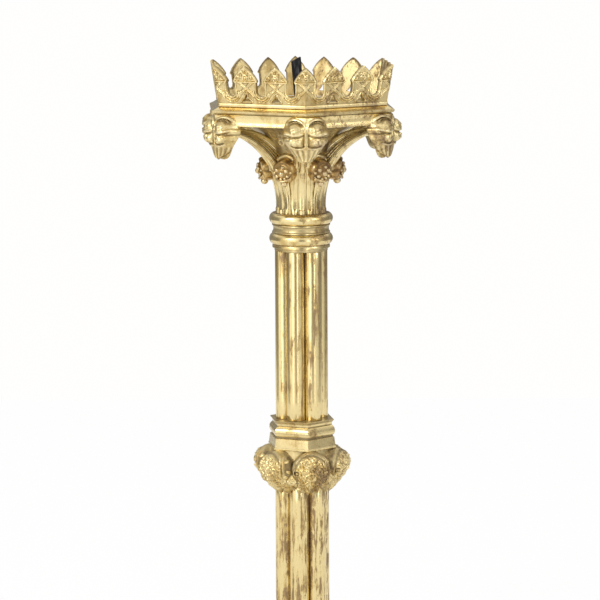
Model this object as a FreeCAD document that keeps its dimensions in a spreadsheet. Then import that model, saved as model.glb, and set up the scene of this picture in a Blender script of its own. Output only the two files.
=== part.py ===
"""Head of a brass processional candle standard, modelled as an assembly of separate castings.

From the bottom up: a ferrule that takes the carrying staff, a clustered lower shaft, a leafed knop,
a clustered upper shaft, a reeded capital with six arms, and a hexagonal drip pan with a cresting
round it. An iron tie rod runs up the middle and ends in the pricket that holds the candle.

Millimetres, +Z up. The origin is the centre of the ferrule's mouth. A bearing is the plan angle of
a piece from -Y, the front, towards +X.
"""

import FreeCAD
import Part

import math
import os

from FreeCAD import Placement, Rotation, Vector

SIDES = 6
SIDE_ANGLE = 360 / SIDES
HALF_SIDE_ANGLE = SIDE_ANGLE / 2
UP = Vector(0, 0, 1)
ACROSS = Vector(1, 0, 0)

SIZES = {
    # Fits
    "running_clearance": 0.05,
    "seat_gap": 0.3,
    # Ferrule for the staff
    "staff_radius": 12.5,
    "staff_depth": 60.0,
    "ferrule_height": 36.0,
    "ferrule_apothem": 24.0,
    "ferrule_waist": 2.2,
    "ferrule_band": 6.5,
    "nut_chamber_radius": 9.6,
    "nut_chamber_depth": 12.0,
    "web_thickness": 5.0,
    # Tie rod, its nut and washer
    "rod_radius": 4.0,
    "rod_hole_radius": 4.3,
    "rod_end_length": 10.0,
    "rod_top_gap": 1.0,
    "nut_across_flats": 13.0,
    "nut_height": 6.4,
    "washer_across_flats": 15.0,
    "washer_thickness": 1.6,
    # Lower shaft
    "lower_shaft_length": 134.0,
    "lower_shaft_bearing": -10.0,
    "lower_lobe_ring": 15.9,
    "lower_lobe_radius": 8.5,
    "lower_bore_apothem": 14.4,
    "lower_plug_depth": 20.0,
    "lower_spigot_radius": 10.0,
    "lower_spigot_height": 12.0,
    # Knop
    "knop_bearing": 10.0,
    "knop_core_height": 35.1,
    "knop_core_foot": 22.6,
    "knop_core_waist": 25.2,
    "knop_core_throat": 23.8,
    "knop_core_waist_height": 19.3,
    "knop_core_throat_height": 28.1,
    "knop_neck_height": 21.9,
    "knop_mould_apothem": 27.3,
    "knop_foot_chamfer": 1.3,
    "knop_foot_chamfer_height": 0.4,
    "knop_foot_edge_height": 1.4,
    "knop_splay_height": 6.6,
    "knop_splay_inset": 1.5,
    "knop_groove_foot": 7.0,
    "knop_groove": 2.7,
    "knop_ovolo_foot": 8.5,
    "knop_ovolo_inset": 1.9,
    "knop_ovolo_swell_inset": 0.9,
    "knop_ovolo_top": 16.9,
    "knop_throat_inset": 3.2,
    "knop_lip_hollow_inset": 2.9,
    "knop_lip_inset": 1.7,
    "knop_lip_edge": 0.7,
    "knop_sleeve_wall": 4.0,
    "knop_sleeve_rise": 14.0,
    "knop_leaf_bearing": 15.0,
    "knop_leaf_reach": 42.7,
    "knop_leaf_back": 25.0,
    "knop_leaf_half_width": 12.5,
    "knop_leaf_length": 39.0,
    "knop_leaf_drop": 1.2,
    "knop_bud_reach": 36.0,
    "knop_bud_half_width": 8.0,
    "knop_bud_length": 19.0,
    "knop_bud_drop": 20.0,
    # Upper shaft
    "upper_shaft_length": 147.3,
    "upper_shaft_bearing": -20.0,
    "upper_lobe_ring": 14.9,
    "upper_lobe_radius": 8.0,
    "upper_bore_apothem": 12.9,
    "upper_plug_depth": 20.0,
    "upper_spigot_radius": 9.0,
    "upper_spigot_height": 10.0,
    # Collar
    "collar_height": 32.7,
    "collar_fillet_radius": 25.4,
    "collar_fillet_height": 4.4,
    "collar_band_radius": 24.6,
    "collar_roll_radius": 27.5,
    "collar_roll_height": 9.6,
    "collar_lower_roll": 10.4,
    "collar_upper_roll": 27.9,
    "collar_socket_radius": 12.0,
    "collar_socket_depth": 8.0,
    # Capital
    "capital_bearing": 3.0,
    "capital_height": 78.5,
    "capital_bore_radius": 8.2,
    "drum_radius": 15.8,
    "bell_flare_height": 25.7,
    "bell_middle_ring": 34.1,
    "bell_middle_drop": 8.1,
    "bell_top_ring": 58.2,
    "reed_radius": 3.2,
    "reed_ring": 19.1,
    "reed_spacing": 20.0,
    "reed_straight": 6.6,
    "arm_end_angle": 76.9,
    "arm_end_drop": 5.3,
    "reed_end_radius": 2.1,
    "reed_valley": 0.4,
    "reed_end_spread": 4.0,
    "arm_back_foot": 34.6,
    "arm_back_middle_ring": 35.0,
    "arm_back_middle_drop": 12.3,
    "arm_back_drop": 4.3,
    "arm_roll_radius": 3.1,
    "arm_roll_end_radius": 1.9,
    "arm_web_inset": 0.4,
    "arm_back_lag": 7.1,
    "ball_ring": 28.5,
    "ball_height": 36.4,
    "ball_half_width": 9.75,
    "ball_half_height": 12.4,
    # Abacus and the leaf crockets on its corners
    "abacus_height": 10.1,
    "abacus_apothem": 74.6,
    "abacus_hollow": 1.1,
    "abacus_lip": 0.2,
    "crocket_stand_out": 4.4,
    "crocket_depth": 18.5,
    "crocket_half_width": 18.7,
    "crocket_length": 37.5,
    "crocket_drop": 1.1,
    "crocket_valley": 2.4,
    # Drip pan
    "pan_apothem": 77.1,
    "pan_height": 5.7,
    "pan_nose_height": 2.6,
    "pan_nose_chamfer": 1.2,
    "pan_floor_thickness": 2.5,
    "pan_rim_apothem": 71.4,
    "pan_inner_apothem": 67.6,
    "pan_hole_apothem": 11.0,
    "pan_boss_wall": 2.6,
    "pan_boss_height": 7.0,
    # Cresting
    "crest_height": 34.4,
    "crest_foot_apothem": 71.0,
    "crest_lean": 8.6,
    "crest_thickness": 2.6,
    "crest_root": 2.0,
    "crest_teeth_per_side": 3.0,
    "tooth_half_width": 10.9,
    "tooth_shoulder_height": 22.3,
    "tooth_barb": 1.7,
    "tooth_bulge": 0.9,
    "tooth_bulge_rise": 0.7,
    "scallop_radius": 3.9,
    "scallop_bottom": 9.3,
    "piercing_half_width": 4.3,
    "piercing_foot": 5.0,
    "piercing_height": 6.2,
    "piercing_waist_height": 2.6,
    "piercing_waist_half_width": 1.6,
    # Pricket
    "pricket_height": 44.7,
    "pricket_collar_radius": 8.8,
    "pricket_collar_height": 4.5,
    "pricket_radius": 4.7,
    "pricket_lean": 5.0,
    "pricket_chisel_angle": 24.0,
    "pricket_chisel_length": 3.0,
    "pricket_socket_across_flats": 13.0,
    "pricket_stub_depth": 24.0,
    "pricket_thread_depth": 19.0,
}

# Sections of the carved forms from the top down, as shares of the piece's length, reach and half width.
KNOP_LEAF_SECTIONS = (
    (0.00, 0.50, 0.36),
    (0.07, 0.76, 0.72),
    (0.18, 0.92, 0.92),
    (0.37, 1.00, 1.00),
    (0.52, 0.88, 0.88),
    (0.70, 0.70, 0.66),
    (0.85, 0.44, 0.42),
    (1.00, 0.22, 0.16),
)
KNOP_BUD_SECTIONS = (
    (0.00, 0.52, 0.50),
    (0.30, 1.00, 1.00),
    (0.66, 0.74, 0.78),
    (0.86, 0.44, 0.46),
    (1.00, 0.20, 0.20),
)
CROCKET_SECTIONS = (
    (0.00, 0.88, 0.62),
    (0.15, 0.95, 0.95),
    (0.24, 0.87, 0.94),
    (0.31, 0.97, 0.98),
    (0.42, 1.00, 1.00),
    (0.52, 0.92, 0.88),
    (0.68, 0.76, 0.66),
    (0.88, 0.60, 0.44),
    (1.00, 0.40, 0.24),
)
BALL_SECTIONS = (
    (1.00, 0.30),
    (0.78, 0.74),
    (0.30, 1.00),
    (-0.25, 0.98),
    (-0.66, 0.64),
    (-0.80, 0.34),
    (-1.00, 0.30),
)
BALL_CORNERS = 8
ARM_STATIONS = 5
BELL_STEPS = 5
TURNED_SIDES = 30
OVOLO_STEPS = 4
LIP_STEPS = 2
ROLL_STEPS = 4
FASCIA_STEPS = 4
FLANK_STEPS = 3
SCALLOP_STEPS = 6
PIERCING_STEPS = 2
# Where a leaf turns in its plan, as shares of its stand-out and half width.
LEAF_CHEEK = 0.5
LEAF_CROWN = 0.92
LOBE_CHEEK = 0.45
LOBE_CROWN = 0.6
REED_EDGE_ANGLE = 30
OCTAGON_SIDES = 8
# Half the length of a moulding's run, as a share of its widest apothem; the corners stand at 1.155 of it.
HEX_RUN_SHARE = 1.5
FLAT = 1e-6

doc = FreeCAD.newDocument("ProcessionalStandard")
sheet = doc.addObject("Spreadsheet::Sheet", "Sizes")
for row, (alias, number) in enumerate(SIZES.items(), start=1):
    sheet.set(f"A{row}", alias)
    sheet.set(f"B{row}", str(number))
    sheet.setAlias(f"B{row}", alias)
doc.recompute()


def size(alias):
    """The value of one cell of the sheet."""
    return float(sheet.get(alias))


def level(*aliases):
    """An expression for a height: the sum of the named cells."""
    return " + ".join(f"Sizes.{alias}" for alias in aliases)


# The stack of castings, each standing on the one before.
FERRULE_TOP = ("ferrule_height",)
KNOP_FOOT = FERRULE_TOP + ("lower_shaft_length",)
KNOP_NECK_FOOT = KNOP_FOOT + ("knop_core_height",)
UPPER_SHAFT_FOOT = KNOP_NECK_FOOT + ("knop_neck_height",)
COLLAR_FOOT = UPPER_SHAFT_FOOT + ("upper_shaft_length",)
CAPITAL_FOOT = COLLAR_FOOT + ("collar_height",)
ABACUS_FOOT = CAPITAL_FOOT + ("capital_height",)
ABACUS_TOP = ABACUS_FOOT + ("abacus_height",)
PAN_FOOT = ABACUS_TOP + ("seat_gap",)
PAN_TOP = PAN_FOOT + ("pan_height",)


def height_of(aliases):
    """The height in millimetres of a level of the stack."""
    return sum(size(alias) for alias in aliases)


def turned(bearing):
    """The placement that turns a piece from the front to its bearing."""
    return Placement(Vector(), Rotation(UP, bearing))


def polar(radius, bearing, height=0.0):
    """The point at a radius and bearing round the Z axis."""
    angle = math.radians(bearing)
    return Vector(radius * math.sin(angle), -radius * math.cos(angle), height)


class Outline:
    """A closed outline, drawn point by point."""

    def __init__(self, u, v):
        self.start = (u, v)
        self.end = (u, v)
        self.edges = []

    @staticmethod
    def point(place):
        return Vector(place[0], place[1], 0)

    def line(self, u, v):
        self.edges.append(Part.LineSegment(self.point(self.end), self.point((u, v))))
        self.end = (u, v)
        return self

    def chords(self, through, to, steps):
        """A round stretch as short straight chords."""
        for u, v in sampled_arc(self.end, through, to, steps):
            self.line(u, v)
        return self

    def close(self):
        return self.line(*self.start).edges


def new_body(name):
    """A PartDesign body, whose label names its piece."""
    body = doc.addObject("PartDesign::Body", name)
    body.Label = name
    return body


def new_sketch(body, name, plane, edges):
    """A sketch of the given edges on one of the body's own origin planes."""
    support = next(part for part in body.Origin.OriginFeatures if part.Role == plane)
    sketch = body.newObject("Sketcher::SketchObject", name)
    sketch.AttachmentSupport = [(support, "")]
    sketch.MapMode = "FlatFace"
    sketch.addGeometry(edges, False)
    return sketch


def padded(body, name, plane, edges, length, symmetric=False, reverse=False):
    """A pad of the given edges in a body, its length bound to the sheet."""
    profile = new_sketch(body, name + "_sketch", plane, edges)
    pad = body.newObject("PartDesign::Pad", name)
    pad.Profile = profile
    pad.setExpression("Length", length)
    pad.Midplane = symmetric
    pad.Reversed = reverse
    body.Tip = pad
    return pad


def boolean(kind, name, base, tool):
    """A Part::Cut, Part::Fuse or Part::Common of two objects."""
    result = doc.addObject("Part::" + kind, name)
    result.Label = name
    result.Base = base
    result.Tool = tool
    return result


def cylinder(name, radius, height, foot):
    """An upright Part::Cylinder on the axis; the sizes are expressions."""
    solid = doc.addObject("Part::Cylinder", name)
    solid.Label = name
    solid.setExpression("Radius", radius)
    solid.setExpression("Height", height)
    solid.setExpression(".Placement.Base.z", foot)
    return solid


def prism(name, apothem, height, foot, bearing, sides=SIDES):
    """A Part::Prism on the axis with a corner at the bearing; the sizes are expressions."""
    solid = doc.addObject("Part::Prism", name)
    solid.Label = name
    solid.Polygon = sides
    solid.setExpression("Circumradius", f"({apothem}) / cos({180 / sides} deg)")
    solid.setExpression("Height", height)
    solid.Placement = turned(bearing - 90)
    solid.setExpression(".Placement.Base.z", foot)
    return solid


def shape_piece(name, shape, bearing=0):
    """A piece whose form is made at the front with Part's own functions, then turned to its bearing."""
    piece = doc.addObject("Part::Feature", name)
    piece.Label = name
    piece.Shape = shape
    piece.Placement = turned(bearing)
    return piece


def drilled(name, base, holes):
    """A piece with round holes along Z; each hole is its radius, height and foot as expressions."""
    for number, (radius, height, foot) in enumerate(holes, start=1):
        last = number == len(holes)
        hole = cylinder(f"{name}_hole_{number}", radius, height, foot)
        base = boolean("Cut", name if last else f"{name}_drilled_{number}", base, hole)
    return base


def facets(a, b, c, d):
    """The flat faces between two runs a-b and d-c: one if they lie flat, or else two."""
    corner = (b - a).cross(d - a)
    if abs(corner.dot(c - a)) < FLAT:
        return [Part.Face(Part.makePolygon([a, b, c, d, a]))]
    if (c - a).Length < (d - b).Length:
        return [Part.Face(Part.makePolygon([a, b, c, a])), Part.Face(Part.makePolygon([a, c, d, a]))]
    return [Part.Face(Part.makePolygon([a, b, d, a])), Part.Face(Part.makePolygon([b, c, d, b]))]


def lofted(sections):
    """A solid of flat facets that run between closed sections of as many points."""
    ends = (sections[0], sections[-1])
    faces = [Part.Face(Part.makePolygon(points + points[:1])) for points in ends]
    for lower, upper in zip(sections, sections[1:]):
        for index in range(len(lower)):
            faces += facets(lower[index - 1], lower[index], upper[index], upper[index - 1])
    solid = Part.Solid(Part.Shell(faces))
    if solid.Volume < 0:
        solid.reverse()
    return solid


def faceted_turning(profile, foot):
    """A turned form of flat facets: the profile's radius and height at each edge, from a foot up."""
    rings = []
    for radius, rise in profile:
        level_here = foot + rise
        rings.append([polar(radius, 360 * corner / TURNED_SIDES, level_here) for corner in range(TURNED_SIDES)])
    return lofted(rings)


def hexagonal(name, half_profile, foot, bearing):
    """A six-sided moulding: three mirrored profiles, each run across, and what they share."""
    runs = []
    reach = HEX_RUN_SHARE * max(u for u, _ in half_profile)
    for turn in range(SIDES // 2):
        body = new_body(f"{name}_run_{turn + 1}")
        outline = Outline(*half_profile[0])
        for u, v in half_profile[1:]:
            outline.line(u, v)
        for u, v in reversed(half_profile):
            outline.line(-u, v)
        padded(body, f"{name}_pad_{turn + 1}", "XZ_Plane", outline.close(), f"{2 * reach}", True)
        body.Placement = turned(bearing + turn * SIDE_ANGLE)
        if foot:
            body.setExpression(".Placement.Base.z", level(*foot))
        runs.append(body)
    moulding = doc.addObject("Part::MultiCommon", name)
    moulding.Label = name
    moulding.Shapes = runs
    return moulding


def sampled_arc(start, through, end, steps):
    """Points along the arc through three points, without its first."""
    curve = Part.Arc(*[Vector(u, v, 0) for u, v in (start, through, end)])
    span = curve.LastParameter - curve.FirstParameter
    points = [curve.value(curve.FirstParameter + span * step / steps) for step in range(1, steps + 1)]
    return [(point.x, point.y) for point in points]


# --- Ferrule, tie rod, nut and washer -------------------------------------------------------


def build_pole_socket():
    """The ferrule: it takes the staff below, keys into the lower shaft above, and holds the rod's nut."""
    wide = size("ferrule_apothem")
    narrow = wide - size("ferrule_waist")
    band = size("ferrule_band")
    splay = size("ferrule_waist")
    top = size("ferrule_height")
    profile = [(wide, 0), (wide, band), (narrow, band + splay)]
    profile += [(narrow, top - band - splay), (wide, top - band), (wide, top - splay), (narrow, top)]
    bearing = size("lower_shaft_bearing")
    moulding = hexagonal("ferrule_moulding", profile, (), bearing)
    chamber = "Sizes.staff_depth + Sizes.nut_chamber_depth"
    key_top = chamber + " + Sizes.web_thickness"
    key_apothem = "Sizes.lower_bore_apothem - Sizes.running_clearance"
    key_height = key_top + " - Sizes.ferrule_height"
    key = prism("ferrule_key", key_apothem, key_height, "Sizes.ferrule_height", bearing)
    holes = [
        ("Sizes.staff_radius", "Sizes.staff_depth", "0"),
        ("Sizes.nut_chamber_radius", "Sizes.nut_chamber_depth", "Sizes.staff_depth"),
        ("Sizes.rod_hole_radius", "Sizes.web_thickness", chamber),
    ]
    return drilled("pole_socket", boolean("Fuse", "ferrule_blank", moulding, key), holes)


def build_tie_rod():
    """The rod with its nut and washer; the nut pulls up against the ferrule's web."""
    web_foot = "Sizes.staff_depth + Sizes.nut_chamber_depth"
    washer_foot = web_foot + " - Sizes.washer_thickness"
    nut_foot = washer_foot + " - Sizes.nut_height"
    rod_foot = web_foot + " - Sizes.rod_end_length"
    rod_top = level(*ABACUS_TOP) + " - Sizes.pricket_stub_depth + Sizes.pricket_thread_depth"
    rod_length = f"{rod_top} - Sizes.rod_top_gap - ({rod_foot})"
    rod = cylinder("tie_rod", "Sizes.rod_radius", rod_length, rod_foot)
    hole = "Sizes.rod_radius + Sizes.running_clearance"
    washer = prism("washer_blank", "Sizes.washer_across_flats / 2", "Sizes.washer_thickness", washer_foot, 0)
    nut = prism("nut_blank", "Sizes.nut_across_flats / 2", "Sizes.nut_height", nut_foot, 0)
    return [
        rod,
        drilled("rod_washer", washer, [(hole, "Sizes.washer_thickness", washer_foot)]),
        drilled("rod_nut", nut, [(hole, "Sizes.nut_height", nut_foot)]),
    ]


# --- Clustered shafts ------------------------------------------------------------------------


def clustered_section(ring, radius):
    """The outline of six round lobes that meet in valleys."""
    half_pitch = ring * math.sin(math.radians(HALF_SIDE_ANGLE))
    valley = ring * math.cos(math.radians(HALF_SIDE_ANGLE)) + math.sqrt(radius**2 - half_pitch**2)
    edges = []
    for lobe in range(SIDES):
        bearing = lobe * SIDE_ANGLE
        ends = [
            polar(valley, bearing - HALF_SIDE_ANGLE),
            polar(ring + radius, bearing),
            polar(valley, bearing + HALF_SIDE_ANGLE),
        ]
        edges.append(Part.Arc(*ends))
    return edges


def build_shaft(which, foot):
    """One clustered shaft, cored six-sided, with its first lobe at its bearing."""
    name = f"{which}_shaft"
    body = new_body(name + "_cluster")
    section = clustered_section(size(f"{which}_lobe_ring"), size(f"{which}_lobe_radius"))
    length = f"Sizes.{which}_shaft_length"
    padded(body, name + "_pad", "XY_Plane", section, length)
    bearing = size(f"{which}_shaft_bearing")
    body.Placement = turned(bearing)
    body.setExpression(".Placement.Base.z", level(*foot))
    bore = prism(name + "_bore", f"Sizes.{which}_bore_apothem", length, level(*foot), bearing)
    return boolean("Cut", name, body, bore)


def build_plug(which, top):
    """The keyed plug in a shaft's upper end, whose round spigot centres the next casting."""
    name = f"{which}_shaft_plug"
    depth = f"Sizes.{which}_plug_depth"
    rise = f"Sizes.{which}_spigot_height"
    foot = level(*top) + f" - {depth}"
    apothem = f"Sizes.{which}_bore_apothem - Sizes.running_clearance"
    key = prism(name + "_key", apothem, depth, foot, size(f"{which}_shaft_bearing"))
    spigot = cylinder(name + "_spigot", f"Sizes.{which}_spigot_radius", rise, level(*top))
    blank = boolean("Fuse", name + "_blank", key, spigot)
    return drilled(name, blank, [("Sizes.rod_hole_radius", f"{depth} + {rise}", foot)])


# --- Knop ------------------------------------------------------------------------------------


def build_knop_core():
    """The six-sided middle of the knop, which the leaves stand against."""
    top = size("knop_core_height")
    foot = size("knop_core_foot")
    waist = size("knop_core_waist")
    throat = size("knop_core_throat")
    profile = [(foot, 0), (waist, size("knop_core_waist_height"))]
    profile += [(throat, size("knop_core_throat_height")), (waist, top)]
    body = hexagonal("knop_core_body", profile, KNOP_FOOT, size("knop_bearing"))
    socket_radius = "Sizes.lower_spigot_radius + Sizes.running_clearance"
    socket_depth = "Sizes.lower_spigot_height + Sizes.seat_gap"
    holes = [
        (socket_radius, socket_depth, level(*KNOP_FOOT)),
        ("Sizes.rod_hole_radius", "Sizes.knop_core_height", level(*KNOP_FOOT)),
    ]
    return drilled("knop_core", body, holes)


def build_knop_neck():
    """The hexagonal mouldings over the leaves: a splayed fillet, an ovolo and a thin flared lip."""
    wide = size("knop_mould_apothem")
    groove = wide - size("knop_groove")
    top = size("knop_neck_height")
    ovolo_foot = size("knop_ovolo_foot")
    ovolo_top = size("knop_ovolo_top")
    ovolo_swell = (wide - size("knop_ovolo_swell_inset"), (ovolo_foot + ovolo_top) / 2)
    throat = (wide - size("knop_throat_inset"), ovolo_top)
    lip_hollow = (wide - size("knop_lip_hollow_inset"), (ovolo_top + top) / 2)
    lip = wide - size("knop_lip_inset")
    profile = [(wide - size("knop_foot_chamfer"), 0), (wide, size("knop_foot_chamfer_height"))]
    profile.append((wide, size("knop_foot_edge_height")))
    profile.append((wide - size("knop_splay_inset"), size("knop_splay_height")))
    profile += [(groove, size("knop_groove_foot")), (groove, ovolo_foot)]
    profile.append((wide - size("knop_ovolo_inset"), ovolo_foot))
    profile += sampled_arc(profile[-1], ovolo_swell, throat, OVOLO_STEPS)
    profile += sampled_arc(throat, lip_hollow, (lip, top - size("knop_lip_edge")), LIP_STEPS)
    profile.append((lip, top))
    moulding = hexagonal("knop_moulding", profile, KNOP_NECK_FOOT, size("knop_bearing"))
    foot = level(*KNOP_NECK_FOOT)
    bearing = size("upper_shaft_bearing")
    bore = prism("knop_neck_bore", "Sizes.upper_bore_apothem", "Sizes.knop_neck_height", foot, bearing)
    return boolean("Cut", "knop_neck", moulding, bore)


def build_knop_sleeve():
    """The six-sided sleeve that keys the hexagonal neck and the upper shaft together."""
    outer = "Sizes.upper_bore_apothem - Sizes.running_clearance"
    length = "Sizes.knop_neck_height + Sizes.knop_sleeve_rise"
    foot = level(*KNOP_NECK_FOOT)
    bearing = size("upper_shaft_bearing")
    blank = prism("knop_sleeve_blank", outer, length, foot, bearing)
    hole = prism("knop_sleeve_hole", outer + " - Sizes.knop_sleeve_wall", length, foot, bearing)
    return boolean("Cut", "knop_sleeve", blank, hole)


def ridged_leaf(sections_table, back, reach, width, length, top):
    """A leaf at the front with a ridge down its middle; the table gives its sections from the top down."""
    sections = []
    for fall, out, wide in sections_table:
        half = wide * width
        stand = out * (reach - back)
        plan = [(-half, -back), (-half, -(back + LEAF_CHEEK * stand))]
        plan.append((-half / 2, -(back + LEAF_CROWN * stand)))
        plan += [(0, -(back + stand))] + [(-u, v) for u, v in reversed(plan)]
        sections.append([Vector(u, v, top - fall * length) for u, v in plan])
    return lofted(sections)


def knop_leaf_shape(core):
    """One leaf crocket of the knop, at its bearing, with the small bud that hangs beside it."""
    back = size("knop_leaf_back")
    top = height_of(KNOP_NECK_FOOT)
    width = size("knop_leaf_half_width")
    length = size("knop_leaf_length")
    leaf_top = top - size("knop_leaf_drop")
    leaf = ridged_leaf(KNOP_LEAF_SECTIONS, back, size("knop_leaf_reach"), width, length, leaf_top)
    width = size("knop_bud_half_width")
    length = size("knop_bud_length")
    bud_top = top - size("knop_bud_drop")
    bud = ridged_leaf(KNOP_BUD_SECTIONS, back, size("knop_bud_reach"), width, length, bud_top)
    bud.rotate(Vector(), UP, HALF_SIDE_ANGLE)
    next_leaf = leaf.copy()
    next_leaf.rotate(Vector(), UP, SIDE_ANGLE)
    leaf = leaf.fuse(bud.cut(next_leaf))
    leaf.rotate(Vector(), UP, size("knop_leaf_bearing"))
    return leaf.cut(core.Shape)


# --- Collar and capital ----------------------------------------------------------------------


def build_collar():
    """The round collar of two rolls, with sockets for the plug below and the capital above."""
    roll = size("collar_roll_radius")
    band = size("collar_band_radius")
    fillet = size("collar_fillet_radius")
    fillet_top = size("collar_fillet_height")
    half_roll = size("collar_roll_height") / 2
    profile = [(fillet, 0), (fillet, fillet_top)]
    for middle in (size("collar_lower_roll"), size("collar_upper_roll")):
        start = (band, middle - half_roll)
        profile += [start] + sampled_arc(start, (roll, middle), (band, middle + half_roll), ROLL_STEPS)
    blank = shape_piece("collar_blank", faceted_turning(profile, height_of(COLLAR_FOOT)))
    seat_depth = "Sizes.collar_socket_depth + Sizes.seat_gap"
    holes = [
        (
            "Sizes.upper_spigot_radius + Sizes.running_clearance",
            "Sizes.upper_spigot_height + Sizes.seat_gap",
            level(*COLLAR_FOOT),
        ),
        ("Sizes.rod_hole_radius", "Sizes.collar_height", level(*COLLAR_FOOT)),
        (
            "Sizes.collar_socket_radius + Sizes.running_clearance",
            seat_depth,
            level(*CAPITAL_FOOT) + f" - ({seat_depth})",
        ),
    ]
    return drilled("collar_ring", blank, holes)


def build_bell():
    """The bell of the capital: a drum behind the reeds that flares out under the abacus."""
    drum = size("drum_radius")
    height = size("capital_height")
    start = (drum, height - size("bell_flare_height"))
    middle = (size("bell_middle_ring"), height - size("bell_middle_drop"))
    end = (size("bell_top_ring"), height)
    profile = [(drum, 0), start] + sampled_arc(start, middle, end, BELL_STEPS)
    flare_shape = faceted_turning(profile, height_of(CAPITAL_FOOT))
    flare = shape_piece("bell_flare", flare_shape, size("capital_bearing"))
    spigot_depth = "Sizes.collar_socket_depth"
    spigot_foot = level(*CAPITAL_FOOT) + f" - {spigot_depth}"
    spigot = cylinder("bell_spigot", "Sizes.collar_socket_radius", spigot_depth, spigot_foot)
    blank = boolean("Fuse", "bell_blank", flare, spigot)
    bore = ("Sizes.capital_bore_radius", f"{spigot_depth} + Sizes.capital_height", spigot_foot)
    return drilled("capital_bell", blank, [bore])


def arm_section(heart, back, radius, roll, spread, fall):
    """The closed section of an arm: three reeds round the heart, a web behind them and the upper roll.

    The side reeds stand back by the fall, and the roll's top is at the back point.
    """
    inward = (back - heart).normalize()
    depth = max((back - heart).Length, fall + 2 * roll)
    web = roll - size("arm_web_inset")
    edge = radius * math.sin(math.radians(REED_EDGE_ANGLE))
    front = radius * math.cos(math.radians(REED_EDGE_ANGLE))
    valley = math.sqrt(max(radius**2 - (spread / 2) ** 2, 0)) + size("reed_valley")
    half = [
        (edge, -front),
        (spread / 2, fall / 2 - valley),
        (spread + edge, fall - front),
        (spread + radius, fall),
        (web, fall + front),
        (web, depth - roll),
        (roll, depth - roll / 2),
        (roll / 2, depth),
    ]
    outline = half + [(-u, v) for u, v in reversed(half)]
    return [heart + ACROSS * u + inward * v for u, v in outline]


def arm_back():
    """The arc that the tops of the arms' rolls follow, as ring and height over the capital's foot."""
    height = size("capital_height")
    line = Part.Arc(
        Vector(size("reed_ring") - size("arm_back_lag"), size("arm_back_foot"), 0),
        Vector(size("arm_back_middle_ring"), height - size("arm_back_middle_drop"), 0),
        Vector(crocket_back(), height - size("arm_back_drop"), 0),
    )
    return line.toShape().Curve


def arm_shape(bell):
    """The front arm: three reeds that rise from the drum and sweep out to a corner under an upper roll."""
    foot = height_of(CAPITAL_FOOT)
    ring = size("reed_ring")
    straight = size("reed_straight")
    end_angle = math.radians(size("arm_end_angle"))
    out = (crocket_back() - ring) / (1 - math.cos(end_angle))
    up = (size("capital_height") - size("arm_end_drop") - straight) / math.sin(end_angle)
    crown = arm_back()
    fall = ring * (1 - math.cos(math.radians(size("reed_spacing"))))
    spread = ring * math.sin(math.radians(size("reed_spacing")))
    lag = size("arm_back_lag")
    heart = Vector(0, -ring, foot)
    back = heart + Vector(0, lag, 0)
    sections = [arm_section(heart, back, size("reed_radius"), size("arm_roll_radius"), spread, fall)]
    for station in range(ARM_STATIONS + 1):
        share = station / ARM_STATIONS
        angle = end_angle * share
        heart = Vector(0, -(ring + out * (1 - math.cos(angle))), foot + straight + up * math.sin(angle))
        at_ring = -heart.y - lag * (1 - share)
        rise = crown.Center.y + math.sqrt(crown.Radius**2 - (crown.Center.x - at_ring) ** 2)
        back = Vector(0, -at_ring, foot + rise)
        radius = size("reed_radius") + (size("reed_end_radius") - size("reed_radius")) * share
        roll = size("arm_roll_radius") + (size("arm_roll_end_radius") - size("arm_roll_radius")) * share
        spread_here = spread + (size("reed_end_spread") - spread) * share
        sections.append(arm_section(heart, back, radius, roll, spread_here, fall * (1 - share)))
    arm = lofted(sections)
    arm.rotate(Vector(), UP, size("capital_bearing"))
    return arm.cut(bell.Shape)


def ball_flower_shape(carriers):
    """One ball flower, half a side round from the front arm, cut to sit on the reeds behind it."""
    middle = height_of(CAPITAL_FOOT) + size("ball_height")
    sections = []
    for rise, share in BALL_SECTIONS:
        radius = share * size("ball_half_width")
        corners = [polar(radius, 360 * corner / BALL_CORNERS) for corner in range(BALL_CORNERS)]
        shift = Vector(0, -size("ball_ring"), middle + rise * size("ball_half_height"))
        sections.append([corner + shift for corner in corners])
    flower = lofted(sections)
    flower.rotate(Vector(), UP, size("capital_bearing") + HALF_SIDE_ANGLE)
    for carrier in carriers:
        flower = flower.cut(carrier)
    solids = sorted(flower.Solids, key=lambda solid: solid.Volume)
    return solids[-1]


def build_abacus():
    """The hexagonal abacus with its hollowed fascia."""
    apothem = size("abacus_apothem")
    top = size("abacus_height")
    hollow = size("abacus_hollow")
    lip = (apothem + size("abacus_lip"), top)
    profile = [(apothem, 0)] + sampled_arc((apothem, 0), (apothem - hollow, top / 2), lip, FASCIA_STEPS)
    plate = hexagonal("abacus_plate", profile, ABACUS_FOOT, size("capital_bearing"))
    hole = cylinder(
        "abacus_hole",
        "Sizes.capital_bore_radius",
        "Sizes.abacus_height",
        level(*ABACUS_FOOT),
    )
    return boolean("Cut", "capital_abacus", plate, hole)


def crocket_reach():
    """How far from the axis a corner's leaf head stands: a little beyond the abacus's corner."""
    corner = size("abacus_apothem") / math.cos(math.radians(HALF_SIDE_ANGLE))
    return corner + size("crocket_stand_out")


def crocket_back():
    """The plane where a leaf head meets the end of its arm."""
    return crocket_reach() - size("crocket_depth")


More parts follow.
